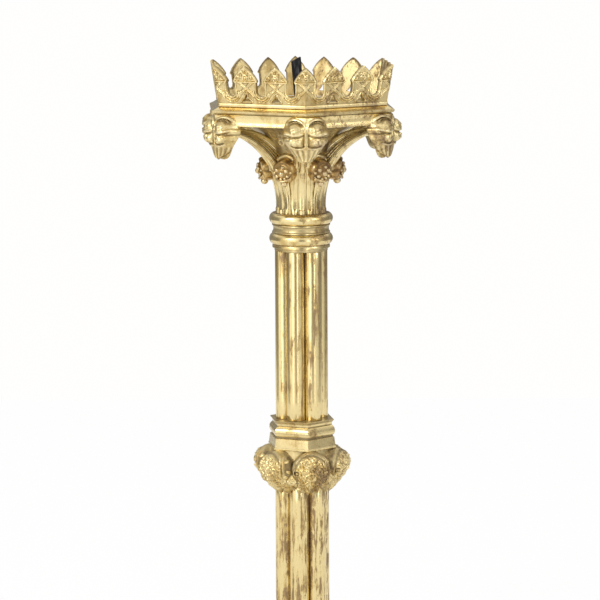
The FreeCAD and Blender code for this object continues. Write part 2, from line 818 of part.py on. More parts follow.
def corner_crocket_shape(abacus):
    """The front corner's leaf head: two curled lobes side by side over a drooping tip."""
    back = crocket_back()
    width = size("crocket_half_width")
    length = size("crocket_length")
    top = height_of(ABACUS_TOP) - size("crocket_drop")
    sections = []
    for fall, out, wide in CROCKET_SECTIONS:
        half = wide * width
        stand = out * size("crocket_depth")
        plan = [(-half, -back), (-half, -(back + LOBE_CHEEK * stand)), (-LOBE_CROWN * half, -(back + stand))]
        plan += [(0, -(back + stand) + size("crocket_valley"))] + [(-u, v) for u, v in reversed(plan)]
        sections.append([Vector(u, v, top - fall * length) for u, v in plan])
    crocket = lofted(sections)
    crocket.rotate(Vector(), UP, size("capital_bearing"))
    return crocket.cut(abacus.Shape)


# --- Drip pan and cresting -------------------------------------------------------------------


def build_drip_pan():
    """The hexagonal pan: a weathered rim, a sunk floor, and a collar round the pricket's hole."""
    apothem = size("pan_apothem")
    nose = size("pan_nose_height")
    top = size("pan_height")
    bearing = size("capital_bearing")
    chamfer = size("pan_nose_chamfer")
    profile = [(apothem - chamfer, 0), (apothem, chamfer), (apothem, nose), (size("pan_rim_apothem"), top)]
    blank = hexagonal("pan_blank", profile, PAN_FOOT, bearing)
    floor = level(*PAN_FOOT) + " + Sizes.pan_floor_thickness"
    dish = prism("pan_dish", "Sizes.pan_inner_apothem", "Sizes.pan_height", floor, bearing)
    boss_apothem = "Sizes.pan_hole_apothem + Sizes.pan_boss_wall"
    boss_height = "Sizes.pan_boss_height - Sizes.pan_floor_thickness"
    boss = prism("pan_boss", boss_apothem, boss_height, floor, bearing)
    foot = level(*PAN_FOOT)
    hole = prism("pan_hole", "Sizes.pan_hole_apothem", "Sizes.pan_boss_height", foot, bearing)
    dished = boolean("Cut", "pan_dished", blank, dish)
    bossed = boolean("Fuse", "pan_bossed", dished, boss)
    return boolean("Cut", "drip_pan", bossed, hole)


def crest_outline():
    """One side of the cresting: leaf teeth with round scallops between, and a piercing under each."""
    teeth = int(size("crest_teeth_per_side"))
    foot_corner = size("crest_foot_apothem") / math.cos(math.radians(HALF_SIDE_ANGLE))
    pitch = foot_corner / teeth
    lean = math.radians(size("crest_lean"))
    height = size("crest_height") / math.cos(lean)
    spread = math.sin(lean) / size("crest_foot_apothem")
    shoulder = size("tooth_shoulder_height")
    half_width = size("tooth_half_width")
    barb_foot = shoulder - size("tooth_barb")
    scallop = size("scallop_radius")
    scallop_centre = size("scallop_bottom") + scallop
    side = pitch / 2 - scallop

    def fan(u, v):
        return (u * (1 + v * spread), v)

    def flank(centre, direction):
        shoulder_u = centre + direction * half_width
        middle = (centre + shoulder_u) / 2 + direction * size("tooth_bulge")
        return (middle, (height + shoulder) / 2 + size("tooth_bulge_rise"))

    centres = [(tooth - teeth / 2) * pitch for tooth in range(teeth + 1)]
    edge = centres[-1] + half_width
    root = -size("crest_root")
    outline = Outline(*fan(edge, root))
    for centre in reversed(centres):
        if centre != centres[-1]:
            outline.line(*fan(centre + side, barb_foot))
        outline.line(*fan(centre + half_width, shoulder))
        tip = fan(centre, height)
        outline.chords(fan(*flank(centre, 1)), tip, FLANK_STEPS)
        outline.chords(fan(*flank(centre, -1)), fan(centre - half_width, shoulder), FLANK_STEPS)
        if centre != centres[0]:
            outline.line(*fan(centre - side, barb_foot)).line(*fan(centre - side, scallop_centre))
            gap = centre - pitch / 2
            bottom = fan(gap, size("scallop_bottom"))
            outline.chords(bottom, fan(gap - scallop, scallop_centre), SCALLOP_STEPS)
    outline.line(*fan(-edge, root))
    edges = outline.close()
    foot = size("piercing_foot")
    apex = foot + size("piercing_height")
    half = size("piercing_half_width")
    for centre in centres[1:-1]:
        piercing = Outline(*fan(centre - half, foot)).line(*fan(centre + half, foot))
        waist = foot + size("piercing_waist_height")
        neck = size("piercing_waist_half_width")
        piercing.chords(fan(centre + neck, waist), fan(centre, apex), PIERCING_STEPS)
        piercing.chords(fan(centre - neck, waist), fan(centre - half, foot), PIERCING_STEPS)
        edges += piercing.edges
    return edges


def build_cresting_side(number):
    """One side of the cresting, leaning out, mitred at the corners and seated on the pan's rim."""
    name = f"cresting_side_{number}"
    bearing = size("capital_bearing") + (number - 0.5) * SIDE_ANGLE
    plate = new_body(name + "_plate")
    padded(plate, name + "_pad", "XZ_Plane", crest_outline(), "Sizes.crest_thickness", reverse=True)
    lean = Placement(
        Vector(0, -size("crest_foot_apothem"), height_of(PAN_TOP)),
        Rotation(ACROSS, size("crest_lean")),
    )
    plate.Placement = turned(bearing).multiply(lean)
    reach = 2 * size("crest_foot_apothem")
    half = reach * math.tan(math.radians(HALF_SIDE_ANGLE))
    sector = new_body(name + "_sector")
    wedge = Outline(0, 0).line(half, -reach).line(-half, -reach)
    padded(sector, name + "_wedge", "XY_Plane", wedge.close(), "2 * Sizes.crest_height")
    sector.Placement = turned(bearing)
    sector.setExpression(".Placement.Base.z", level(*PAN_TOP))
    return boolean("Common", name, plate, sector)


# --- Pricket ---------------------------------------------------------------------------------


def build_pricket():
    """The iron pricket: an eight-sided spike with a chisel end on a round collar, leaning a little."""
    foot = height_of(ABACUS_TOP)
    collar_height = size("pricket_collar_height")
    collar_radius = size("pricket_collar_radius")
    length = size("pricket_height")
    radius = size("pricket_radius")
    reach = length
    block = (2 * reach, 2 * reach, reach)
    shank = octagon_cone(radius, radius, length)
    chisel = Part.makeBox(*block, Vector(-reach, -reach, 0))
    chisel.rotate(Vector(), Vector(0, 1, 0), -size("pricket_chisel_angle"))
    chisel.translate(Vector(0, 0, length - size("pricket_chisel_length") / 2))
    shank = shank.cut(chisel)
    shank.rotate(Vector(), Vector(0, 1, 0), -size("pricket_lean"))
    for level_foot in (-reach, length):
        shank = shank.cut(Part.makeBox(*block, Vector(-reach, -reach, level_foot)))
    collar = octagon_cone(collar_radius, collar_radius, collar_height / 2)
    shoulder = octagon_cone(collar_radius, radius, collar_height / 2)
    shoulder.translate(Vector(0, 0, collar_height / 2))
    spike = shank.multiFuse([collar, shoulder])
    spike.translate(Vector(0, 0, foot))
    stub_foot = level(*ABACUS_TOP) + " - Sizes.pricket_stub_depth"
    across = "Sizes.pricket_socket_across_flats / 2"
    socket = prism("pricket_socket_blank", across, "Sizes.pricket_stub_depth", stub_foot, 0)
    thread = [("Sizes.rod_radius + Sizes.running_clearance", "Sizes.pricket_thread_depth", stub_foot)]
    return [shape_piece("pricket_spike", spike.removeSplitter()), drilled("pricket_socket", socket, thread)]


def octagon_cone(foot_radius, top_radius, height):
    """An upright eight-sided solid on the origin."""
    rings = []
    for radius, rise in ((foot_radius, 0), (top_radius, height)):
        turns = [360 * (corner + 0.5) / OCTAGON_SIDES for corner in range(OCTAGON_SIDES)]
        rings.append([polar(radius, turn, rise) for turn in turns])
    return lofted(rings)


def build_all():
    """Every piece, from the ferrule up."""
    pieces = [build_pole_socket()]
    pieces += build_tie_rod()
    pieces.append(build_shaft("lower", FERRULE_TOP))
    pieces.append(build_plug("lower", KNOP_FOOT))
    core = build_knop_core()
    pieces.append(core)
    pieces.append(build_knop_neck())
    pieces.append(build_knop_sleeve())
    pieces.append(build_shaft("upper", UPPER_SHAFT_FOOT))
    pieces.append(build_plug("upper", COLLAR_FOOT))
    pieces.append(build_collar())
    bell = build_bell()
    abacus = build_abacus()
    pieces += [bell, abacus, build_drip_pan()]
    pieces += build_pricket()
    doc.recompute()
    leaf = knop_leaf_shape(core)
    arm = arm_shape(bell)
    next_arm = arm.copy()
    next_arm.rotate(Vector(), UP, SIDE_ANGLE)
    flower = ball_flower_shape([bell.Shape, arm, next_arm])
    crocket = corner_crocket_shape(abacus)
    for number in range(1, SIDES + 1):
        turn = (number - 1) * SIDE_ANGLE
        pieces.append(shape_piece(f"knop_leaf_{number}", leaf, turn))
        pieces.append(shape_piece(f"capital_arm_{number}", arm, turn))
        pieces.append(shape_piece(f"ball_flower_{number}", flower, turn))
        pieces.append(shape_piece(f"corner_crocket_{number}", crocket, turn))
        pieces.append(build_cresting_side(number))
    doc.recompute()
    return pieces


def check(pieces):
    """Stop if any object failed to build or any piece isn't one sound solid."""
    for item in doc.Objects:
        if "Invalid" in item.State or "Error" in item.State:
            raise RuntimeError(f"{item.Label} did not build: {item.State}")
    for piece in pieces:
        if piece.Shape.isNull() or not piece.Shape.isValid():
            raise RuntimeError(f"{piece.Label} has no valid shape")
        if len(piece.Shape.Solids) != 1:
            raise RuntimeError(f"{piece.Label} has {len(piece.Shape.Solids)} solids")


all_pieces = build_all()
check(all_pieces)
os.makedirs("parts", exist_ok=True)
for finished in all_pieces:
    finished.Shape.exportStep(f"parts/{finished.Label}.step")
print(len(all_pieces), "pieces")
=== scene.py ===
"""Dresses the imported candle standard: carved brass, an iron pricket, a plain studio, a camera.

Sizes in the classes are millimetres, heights are from the ferrule's mouth, and a bearing is the
plan angle of a piece from the front, -Y, towards +X. A repeated casting is made at the front and
set round the axis by a Geometry Nodes tree.
"""

import logging
import math
from collections.abc import Callable
from dataclasses import dataclass
from enum import Enum

import bmesh
import bpy
import numpy as np
from mathutils import Matrix, Vector
from mathutils.geometry import delaunay_2d_cdt


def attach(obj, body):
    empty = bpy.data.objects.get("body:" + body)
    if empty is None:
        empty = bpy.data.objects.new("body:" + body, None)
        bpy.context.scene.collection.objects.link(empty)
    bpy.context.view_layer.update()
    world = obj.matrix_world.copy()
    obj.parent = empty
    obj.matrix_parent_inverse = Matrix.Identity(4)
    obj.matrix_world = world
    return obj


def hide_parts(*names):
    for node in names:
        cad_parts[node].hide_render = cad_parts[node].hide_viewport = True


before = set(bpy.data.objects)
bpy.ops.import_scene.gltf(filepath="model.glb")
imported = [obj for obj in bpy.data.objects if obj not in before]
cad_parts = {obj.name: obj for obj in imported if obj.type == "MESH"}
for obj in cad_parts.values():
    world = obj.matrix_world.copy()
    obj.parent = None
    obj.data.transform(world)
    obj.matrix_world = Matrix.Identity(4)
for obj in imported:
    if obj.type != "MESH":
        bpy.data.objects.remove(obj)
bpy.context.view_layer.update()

log = logging.getLogger("candle_standard")

Colour = tuple[float, float, float]
Place = tuple[float, float, float]
Point = tuple[float, float]
Span = tuple[float, float, float, float]
Spot = tuple[float, float, float, float]
MM = 0.001
SIDES = 6
FULL_TURN = 360.0
SIDE_ANGLE = FULL_TURN / SIDES
HALF_SIDE = math.radians(SIDE_ANGLE / 2)
# Name of the point attribute of painted shade: above 0 darkens hollows, creases and undersides,
# below 0 lightens crests.
PAINTED_SHADE_ATTRIBUTE = "hollow"
SHARP_EDGE = math.radians(38)
WELD_DISTANCE = 1e-6
BEVEL_ANGLE = math.radians(20)
WHITE = (1.0, 1.0, 1.0, 1.0)


class Slot(Enum):
    """The record's material slots."""

    CAST = "cast_brass"
    SHAFT = "shaft_brass"
    LEAF = "leaf_brass"
    FLOWER = "flower_brass"
    CRESTING = "cresting_brass"
    IRON = "black_iron"


class Body(Enum):
    """The bodies that pieces ride on."""

    STEM = "stem"
    KNOP = "knop"
    HEAD = "head"
    PAN = "pan"


# --- Shading tools -----------------------------------------------------------------------------


class Signal:
    """A value socket of a node tree that takes part in Python arithmetic."""

    def __init__(self, tree: bpy.types.NodeTree, socket: bpy.types.NodeSocket) -> None:
        """Wraps one output socket of the tree."""
        self.tree = tree
        self.socket = socket

    def combine(self, operation: str, left: object, right: object) -> "Signal":
        """Adds one Math node.

        Args:
            operation: the Math node's operation.
            left: a signal or number for the first input.
            right: a signal or number for the second input.

        Returns:
            The node's result as a signal.
        """
        node = self.tree.nodes.new("ShaderNodeMath")
        node.operation = operation
        for index, term in enumerate((left, right)):
            if isinstance(term, Signal):
                self.tree.links.new(term.socket, node.inputs[index])
            else:
                node.inputs[index].default_value = float(term)
        return Signal(self.tree, node.outputs[0])

    def __add__(self, other: object) -> "Signal":
        """Sum."""
        return self.combine("ADD", self, other)

    def __radd__(self, other: object) -> "Signal":
        """Sum with the signal on the right."""
        return self.combine("ADD", other, self)

    def __sub__(self, other: object) -> "Signal":
        """Difference."""
        return self.combine("SUBTRACT", self, other)

    def __rsub__(self, other: object) -> "Signal":
        """Difference with the signal on the right."""
        return self.combine("SUBTRACT", other, self)

    def __mul__(self, other: object) -> "Signal":
        """Product."""
        return self.combine("MULTIPLY", self, other)

    def __rmul__(self, other: object) -> "Signal":
        """Product with the signal on the right."""
        return self.combine("MULTIPLY", other, self)

    def __truediv__(self, other: object) -> "Signal":
        """Quotient."""
        return self.combine("DIVIDE", self, other)

    def __abs__(self) -> "Signal":
        """Absolute value."""
        return self.combine("ABSOLUTE", self, 0.0)

    def power(self, exponent: float) -> "Signal":
        """The signal to a power."""
        return self.combine("POWER", self, exponent)

    def least(self, other: object) -> "Signal":
        """The smaller of two."""
        return self.combine("MINIMUM", self, other)

    def most(self, other: object) -> "Signal":
        """The larger of two."""
        return self.combine("MAXIMUM", self, other)

    def step(self, low: float, high: float) -> "Signal":
        """A smooth rise between two values, or a fall where low is above high.

        Args:
            low: where the result is 0.
            high: where the result is 1.

        Returns:
            The step as a signal.
        """
        node = self.tree.nodes.new("ShaderNodeMapRange")
        node.interpolation_type = "SMOOTHSTEP"
        self.tree.links.new(self.socket, node.inputs["Value"])
        rising = low < high
        node.inputs["From Min"].default_value = low if rising else high
        node.inputs["From Max"].default_value = high if rising else low
        node.inputs["To Min"].default_value = 0.0 if rising else 1.0
        node.inputs["To Max"].default_value = 1.0 if rising else 0.0
        return Signal(self.tree, node.outputs["Result"])


class Palette:
    """Adds nodes to one material's or world's tree."""

    def __init__(self, tree: bpy.types.NodeTree) -> None:
        """Empties the tree and keeps it."""
        self.tree = tree
        tree.nodes.clear()

    def add(
        self, kind: str, settings: dict[str, object], sockets: dict[object, object]
    ) -> bpy.types.Node:
        """Adds any node.

        Args:
            kind: the node's type.
            settings: its own settings by name, set first.
            sockets: values, sockets or signals for its inputs, by name or number.

        Returns:
            The new node.
        """
        node = self.tree.nodes.new(kind)
        for name, value in settings.items():
            setattr(node, name, value)
        for key, value in sockets.items():
            if isinstance(value, Signal):
                value = value.socket
            if isinstance(value, bpy.types.NodeSocket):
                self.tree.links.new(value, node.inputs[key])
            else:
                node.inputs[key].default_value = value
        return node

    def signal(self, node: bpy.types.Node, output: object = 0) -> Signal:
        """One output of a node as a signal."""
        return Signal(self.tree, node.outputs[output])

    def mix(self, share: object, first: object, second: object) -> bpy.types.NodeSocket:
        """Mixes two colours.

        Args:
            share: how much of the second, as a signal or number.
            first: a colour or colour socket.
            second: a colour or colour socket.

        Returns:
            The mixed colour's socket.
        """
        values = {0: share}
        for index, colour in ((6, first), (7, second)):
            values[index] = (*colour, 1.0) if isinstance(colour, tuple) else colour
        return self.add("ShaderNodeMix", {"data_type": "RGBA"}, values).outputs[2]

    def noise(
        self, vector: bpy.types.NodeSocket, scale: float, detail: float, roughness: float
    ) -> Signal:
        """A noise pattern.

        Args:
            vector: the coordinates.
            scale: cells to a metre.
            detail: octaves.
            roughness: the strength of the fine octaves.

        Returns:
            Its value, about 0 to 1.
        """
        sockets = {"Vector": vector, "Scale": scale, "Detail": detail, "Roughness": roughness}
        return self.signal(self.add("ShaderNodeTexNoise", {}, sockets), "Fac")

    def cells(self, vector: bpy.types.NodeSocket, scale: float) -> Signal:
        """The distance to the nearest of scattered points, scale cells to a metre."""
        sockets = {"Vector": vector, "Scale": scale}
        return self.signal(self.add("ShaderNodeTexVoronoi", {}, sockets), "Distance")

    def stretched(self, vector: bpy.types.NodeSocket, scale: Colour) -> bpy.types.NodeSocket:
        """The coordinates with each axis scaled by its own factor."""
        mapping = self.add("ShaderNodeMapping", {}, {"Vector": vector, "Scale": scale})
        return mapping.outputs["Vector"]

    def metal(
        self,
        colour: object,
        rough: object,
        metallic: object,
        relief: Signal,
        strength: float,
        depth: float,
    ) -> None:
        """Ends a metal's tree with its bump, its shader and its output.

        Args:
            colour: the base colour's socket.
            rough: the roughness.
            metallic: how metallic the surface is, as a signal or number.
            relief: the bump's height.
            strength: the bump's strength.
            depth: how many metres a height of 1 stands for.
        """
        bump = self.add(
            "ShaderNodeBump", {}, {"Strength": strength, "Distance": depth, "Height": relief}
        )
        sockets = {
            "Base Color": colour,
            "Roughness": rough,
            "Metallic": metallic,
            "Normal": bump.outputs[0],
        }
        shader = self.add("ShaderNodeBsdfPrincipled", {}, sockets)
        self.add("ShaderNodeOutputMaterial", {}, {"Surface": shader.outputs["BSDF"]})


def blank_material(name: str) -> tuple[bpy.types.Material, Palette]:
    """Makes a material with an empty tree.

    Args:
        name: the material's name.

    Returns:
        The material, and the palette that fills its tree.
    """
    material = bpy.data.materials.new(name)
    material.use_nodes = True
    return material, Palette(material.node_tree)


def in_scene(name: str, data: bpy.types.ID) -> bpy.types.Object:
    """Makes an object of a mesh, camera or lamp and links it to the scene.

    Args:
        name: the object's name.
        data: what it shows.

    Returns:
        The new object.
    """
    thing = bpy.data.objects.new(name, data)
    bpy.context.scene.collection.objects.link(thing)
    return thing


@dataclass(frozen=True)
class Brass:
    """Old brass: bright metal, gold patches, brown tarnish, painted shade, and rubbed, highlit
    crests.
    """

    slot: Slot
    bright: Colour = (0.82, 0.665, 0.335)
    gold: Colour = (0.62, 0.455, 0.185)
    tarnish: Colour = (0.235, 0.15, 0.085)
    # Dark colour of the random spots and of the painted shade in hollows, creases and undersides.
    grime_and_shade: Colour = (0.085, 0.052, 0.022)
    # Light colour painted on crests where the shade value is below 0: rubbed wear and painted
    # highlight.
    rubbed: Colour = (0.93, 0.82, 0.52)
    gold_share: float = 0.5
    tarnish_share: float = 0.3
    streaks: float = 0.0
    # Extra brown tarnish on the +X side: painted shade on the side away from the key lamp.
    right_side_shade: float = 0.065
    # Extra brown tarnish towards the bottom.
    low_tarnish: float = 0.0
    mottle_length: float = 0.6
    spots: float = 0.5
    # How strongly the painted shade darkens hollows, creases and undersides.
    painted_shade_depth: float = 0.85
    polish: float = 0.17
    dullness: float = 0.45
    pitting: float = 0.12
    cloud_cells: float = 42.0
    patch_cells: float = 105.0
    mottle_cells: float = 620.0
    fine_cells: float = 1100.0
    speck_cells: float = 430.0
    streak_cells: float = 330.0
    patch_length: float = 0.5
    streak_length: float = 0.07
    # Where, in metres along X, that painted side shade starts and is full.
    right_side_shade_span: Point = (-0.012, 0.03)
    # Heights in metres: no extra tarnish above the first, full below the second.
    low_tarnish_span: Point = (0.215, 0.13)
    bump_strength: float = 0.5
    bump_depth: float = 0.0006

    def build(self) -> bpy.types.Material:
        """Builds the material.

        Returns:
            The brass, ready to assign.
        """
        material, kit = blank_material(self.slot.value)
        place = kit.add("ShaderNodeTexCoord", {}, {}).outputs["Object"]
        # Painted shade read from the points: above 0 darkens, below 0 lightens crests.
        carved = kit.signal(kit.add("ShaderNodeAttribute", {"attribute_name": PAINTED_SHADE_ATTRIBUTE}, {}), "Fac")
        cloud = kit.noise(place, self.cloud_cells, 5.0, 0.62)
        patch = kit.noise(
            kit.stretched(place, (1.0, 1.0, self.patch_length)), self.patch_cells, 6.0, 0.7
        )
        mottle = kit.noise(
            kit.stretched(place, (1.0, 1.0, self.mottle_length)), self.mottle_cells, 5.0, 0.72
        )
        fine = kit.noise(place, self.fine_cells, 3.0, 0.6)
        specks = kit.cells(place, self.speck_cells)
        streak = kit.noise(
            kit.stretched(place, (1.0, 1.0, self.streak_length)), self.streak_cells, 4.0, 0.6
        )
        band = (streak - 0.5) * self.streaks
        axes = kit.add("ShaderNodeSeparateXYZ", {}, {"Vector": place})
        # Painted shade: more brown tarnish on the +X side, away from the key lamp.
        right_side_shade = kit.signal(axes, "X").step(*self.right_side_shade_span) * self.right_side_shade
        gilding = cloud * 0.55 + patch * 0.45 + band
        gold = gilding.step(0.64 - 0.3 * self.gold_share, 0.7 - 0.22 * self.gold_share)
        # More brown tarnish towards the bottom.
        low_tarnish = kit.signal(axes, "Z").step(*self.low_tarnish_span) * self.low_tarnish
        blotch = patch * 0.42 + cloud * 0.2 + mottle * 0.38 + band * 0.7 + right_side_shade + low_tarnish
        brown = blotch.step(0.66 - 0.24 * self.tarnish_share, 0.74 - 0.24 * self.tarnish_share)
        spots = specks.step(0.17, 0.05) * patch.step(0.44, 0.58) * self.spots
        # Painted shade in hollows, creases and undersides, joined with the real random dark spots.
        spots_and_shade = (carved.most(0.0) * (0.7 + fine * 0.6)).least(1.0) * self.painted_shade_depth
        spots_and_shade = spots_and_shade.most(spots)
        colour = kit.mix(gold, self.bright, self.gold)
        colour = kit.mix(mottle.step(0.5, 0.68) * 0.35, colour, self.gold)
        colour = kit.mix(brown * 0.8, colour, self.tarnish)
        # Lightens crests where the shade value is below 0: rubbed wear and painted highlight.
        colour = kit.mix((carved * -1.0).most(0.0).least(1.0), colour, self.rubbed)
        # Darkens by the painted shade and the random spots.
        colour = kit.mix(spots_and_shade, colour, self.grime_and_shade)
        dull = gold * 0.3 + brown * 0.6 + fine * 0.2
        rough = self.polish + (self.dullness - self.polish) * dull + spots_and_shade * 0.3
        metal = 1.0 - spots_and_shade * 0.5 - brown * 0.2
        relief = fine * self.pitting + mottle * (0.6 * self.pitting) - spots * 0.25 + cloud * 0.2
        kit.metal(colour, rough, metal, relief, self.bump_strength, self.bump_depth)
        return material


@dataclass(frozen=True)
class Iron:
    """Blackened iron with a grey rubbed edge and a little rust."""

    slot: Slot = Slot.IRON
    black: Colour = (0.022, 0.021, 0.024)
    rubbed: Colour = (0.12, 0.12, 0.13)
    rust: Colour = (0.10, 0.05, 0.03)
    metallic: float = 0.75
    bump_strength: float = 0.6
    bump_depth: float = 0.0008

    def build(self) -> bpy.types.Material:
        """Builds the material.

        Returns:
            The iron, ready to assign.
        """
        material, kit = blank_material(self.slot.value)
        place = kit.add("ShaderNodeTexCoord", {}, {}).outputs["Object"]
        scale = kit.noise(place, 160.0, 5.0, 0.65)
        strokes = kit.noise(kit.stretched(place, (1.0, 1.0, 0.2)), 380.0, 4.0, 0.6)
        colour = kit.mix(strokes.step(0.5, 0.72) * 0.8, self.black, self.rubbed)
        colour = kit.mix(scale.step(0.58, 0.72) * 0.5, colour, self.rust)
        rough = 0.42 + scale * 0.35
        relief = scale + strokes * 0.4
        kit.metal(colour, rough, self.metallic, relief, self.bump_strength, self.bump_depth)
        return material


class Finishes:
    """All finishes of the standard, each built once."""

    def __init__(self) -> None:
        """Builds every material."""
        metals = (
            Brass(Slot.CAST, gold_share=0.5, tarnish_share=0.42, spots=0.5),
            Brass(
                Slot.SHAFT,
                gold_share=0.5,
                tarnish_share=0.42,
                streaks=0.95,
                low_tarnish=0.03,
                mottle_length=0.3,
                spots=0.6,
                polish=0.13,
            ),
            Brass(
                Slot.LEAF,
                gold_share=0.62,
                tarnish_share=0.5,
                spots=0.3,
                dullness=0.54,
                pitting=0.35,
                polish=0.28,
            ),
            # A darker, more orange copy of the brass for the flowers in the recess under the
            # abacus: painted shade and painted reflection of the gold round them.
            Brass(
                Slot.FLOWER,
                bright=(0.70, 0.50, 0.22),
                gold=(0.50, 0.32, 0.10),
                tarnish=(0.24, 0.13, 0.05),
                grime_and_shade=(0.07, 0.035, 0.012),
                gold_share=0.7,
                tarnish_share=0.6,
                polish=0.24,
            ),
            Brass(
                Slot.CRESTING,
                gold_share=0.6,
                tarnish_share=0.4,
                dullness=0.55,
                pitting=0.35,
                polish=0.26,
                painted_shade_depth=0.9,
            ),
            Iron(),
        )
        self.materials = {metal.slot: metal.build() for metal in metals}

    def of(self, slot: Slot) -> bpy.types.Material:
        """The material of a slot."""
        return self.materials[slot]


# --- Mesh tools --------------------------------------------------------------------------------


def smooth_rise(value: np.ndarray, low: float, high: float) -> np.ndarray:
    """A smooth step of an array from 0 at low to 1 at high."""
    share = np.clip((value - low) / (high - low), 0.0, 1.0)
    return share * share * (3.0 - 2.0 * share)


def ridge(distance: np.ndarray, half_width: float) -> np.ndarray:
    """A rounded ridge, 1 where the distance is 0 and 0 from the half width on, to either side."""
    share = np.clip(1.0 - (distance / half_width) ** 2, 0.0, 1.0)
    return np.sqrt(share)


def soft_span(value: np.ndarray, span: Span) -> np.ndarray:
    """1 within a span and 0 outside it: it holds where the rise and then the fall start and end."""
    return smooth_rise(value, *span[:2]) * (1.0 - smooth_rise(value, *span[2:]))


def mound(x: np.ndarray, y: np.ndarray, spot: Spot) -> np.ndarray:
    """A round mound, 1 high in its middle: the spot holds its middle and then its half sizes."""
    return ridge(np.hypot((x - spot[0]) / spot[2], (y - spot[1]) / spot[3]), 1.0)


def carved(*cuts: tuple[np.ndarray, float, float]) -> tuple[np.ndarray, np.ndarray]:
    """Adds up the cuts of a carving.

    Args:
        cuts: each cut's shape, how far it stands out in full, and the painted shade it gets.

    Returns:
        How far each place stands out, and its painted shade.
    """
    height = sum(shape * stand for shape, stand, _ in cuts)
    depth = sum(shape * hollow for shape, _, hollow in cuts)
    return height, np.clip(depth, -0.8, 1.0)


def round_axis(radius: np.ndarray, turn: np.ndarray, height: np.ndarray) -> np.ndarray:
    """Points at a radius from the axis, a bearing in radians and a height."""
    return np.stack([radius * np.sin(turn), -radius * np.cos(turn), height], axis=-1)


def by_ring(depths: np.ndarray | list[float], rows: np.ndarray) -> np.ndarray:
    """Gives each ring's painted shade to all of its points."""
    return np.repeat(np.array(depths)[:, None], rows.shape[1], axis=1)


def arc_points(start: Point, through: Point, end: Point, steps: int) -> list[Point]:
    """Points along the arc through three points, both ends included.

    Args:
        start: the first point.
        through: any point between.
        end: the last point.
        steps: the number of chords.

    Returns:
        Pairs of coordinates, steps + 1 of them.
    """
    (ax, ay), (bx, by), (cx, cy) = start, through, end
    twice = 2 * (ax * (by - cy) + bx * (cy - ay) + cx * (ay - by))
    sums = [x * x + y * y for x, y in (start, through, end)]
    ux = (sums[0] * (by - cy) + sums[1] * (cy - ay) + sums[2] * (ay - by)) / twice
    uy = (sums[0] * (cx - bx) + sums[1] * (ax - cx) + sums[2] * (bx - ax)) / twice
    radius = math.hypot(ax - ux, ay - uy)
    first = math.atan2(ay - uy, ax - ux)
    middle = (math.atan2(by - uy, bx - ux) - first) % math.tau
    last = (math.atan2(cy - uy, cx - ux) - first) % math.tau
    if middle > last:
        last -= math.tau
    turns = [first + last * step / steps for step in range(steps + 1)]
    return [(ux + radius * math.cos(turn), uy + radius * math.sin(turn)) for turn in turns]


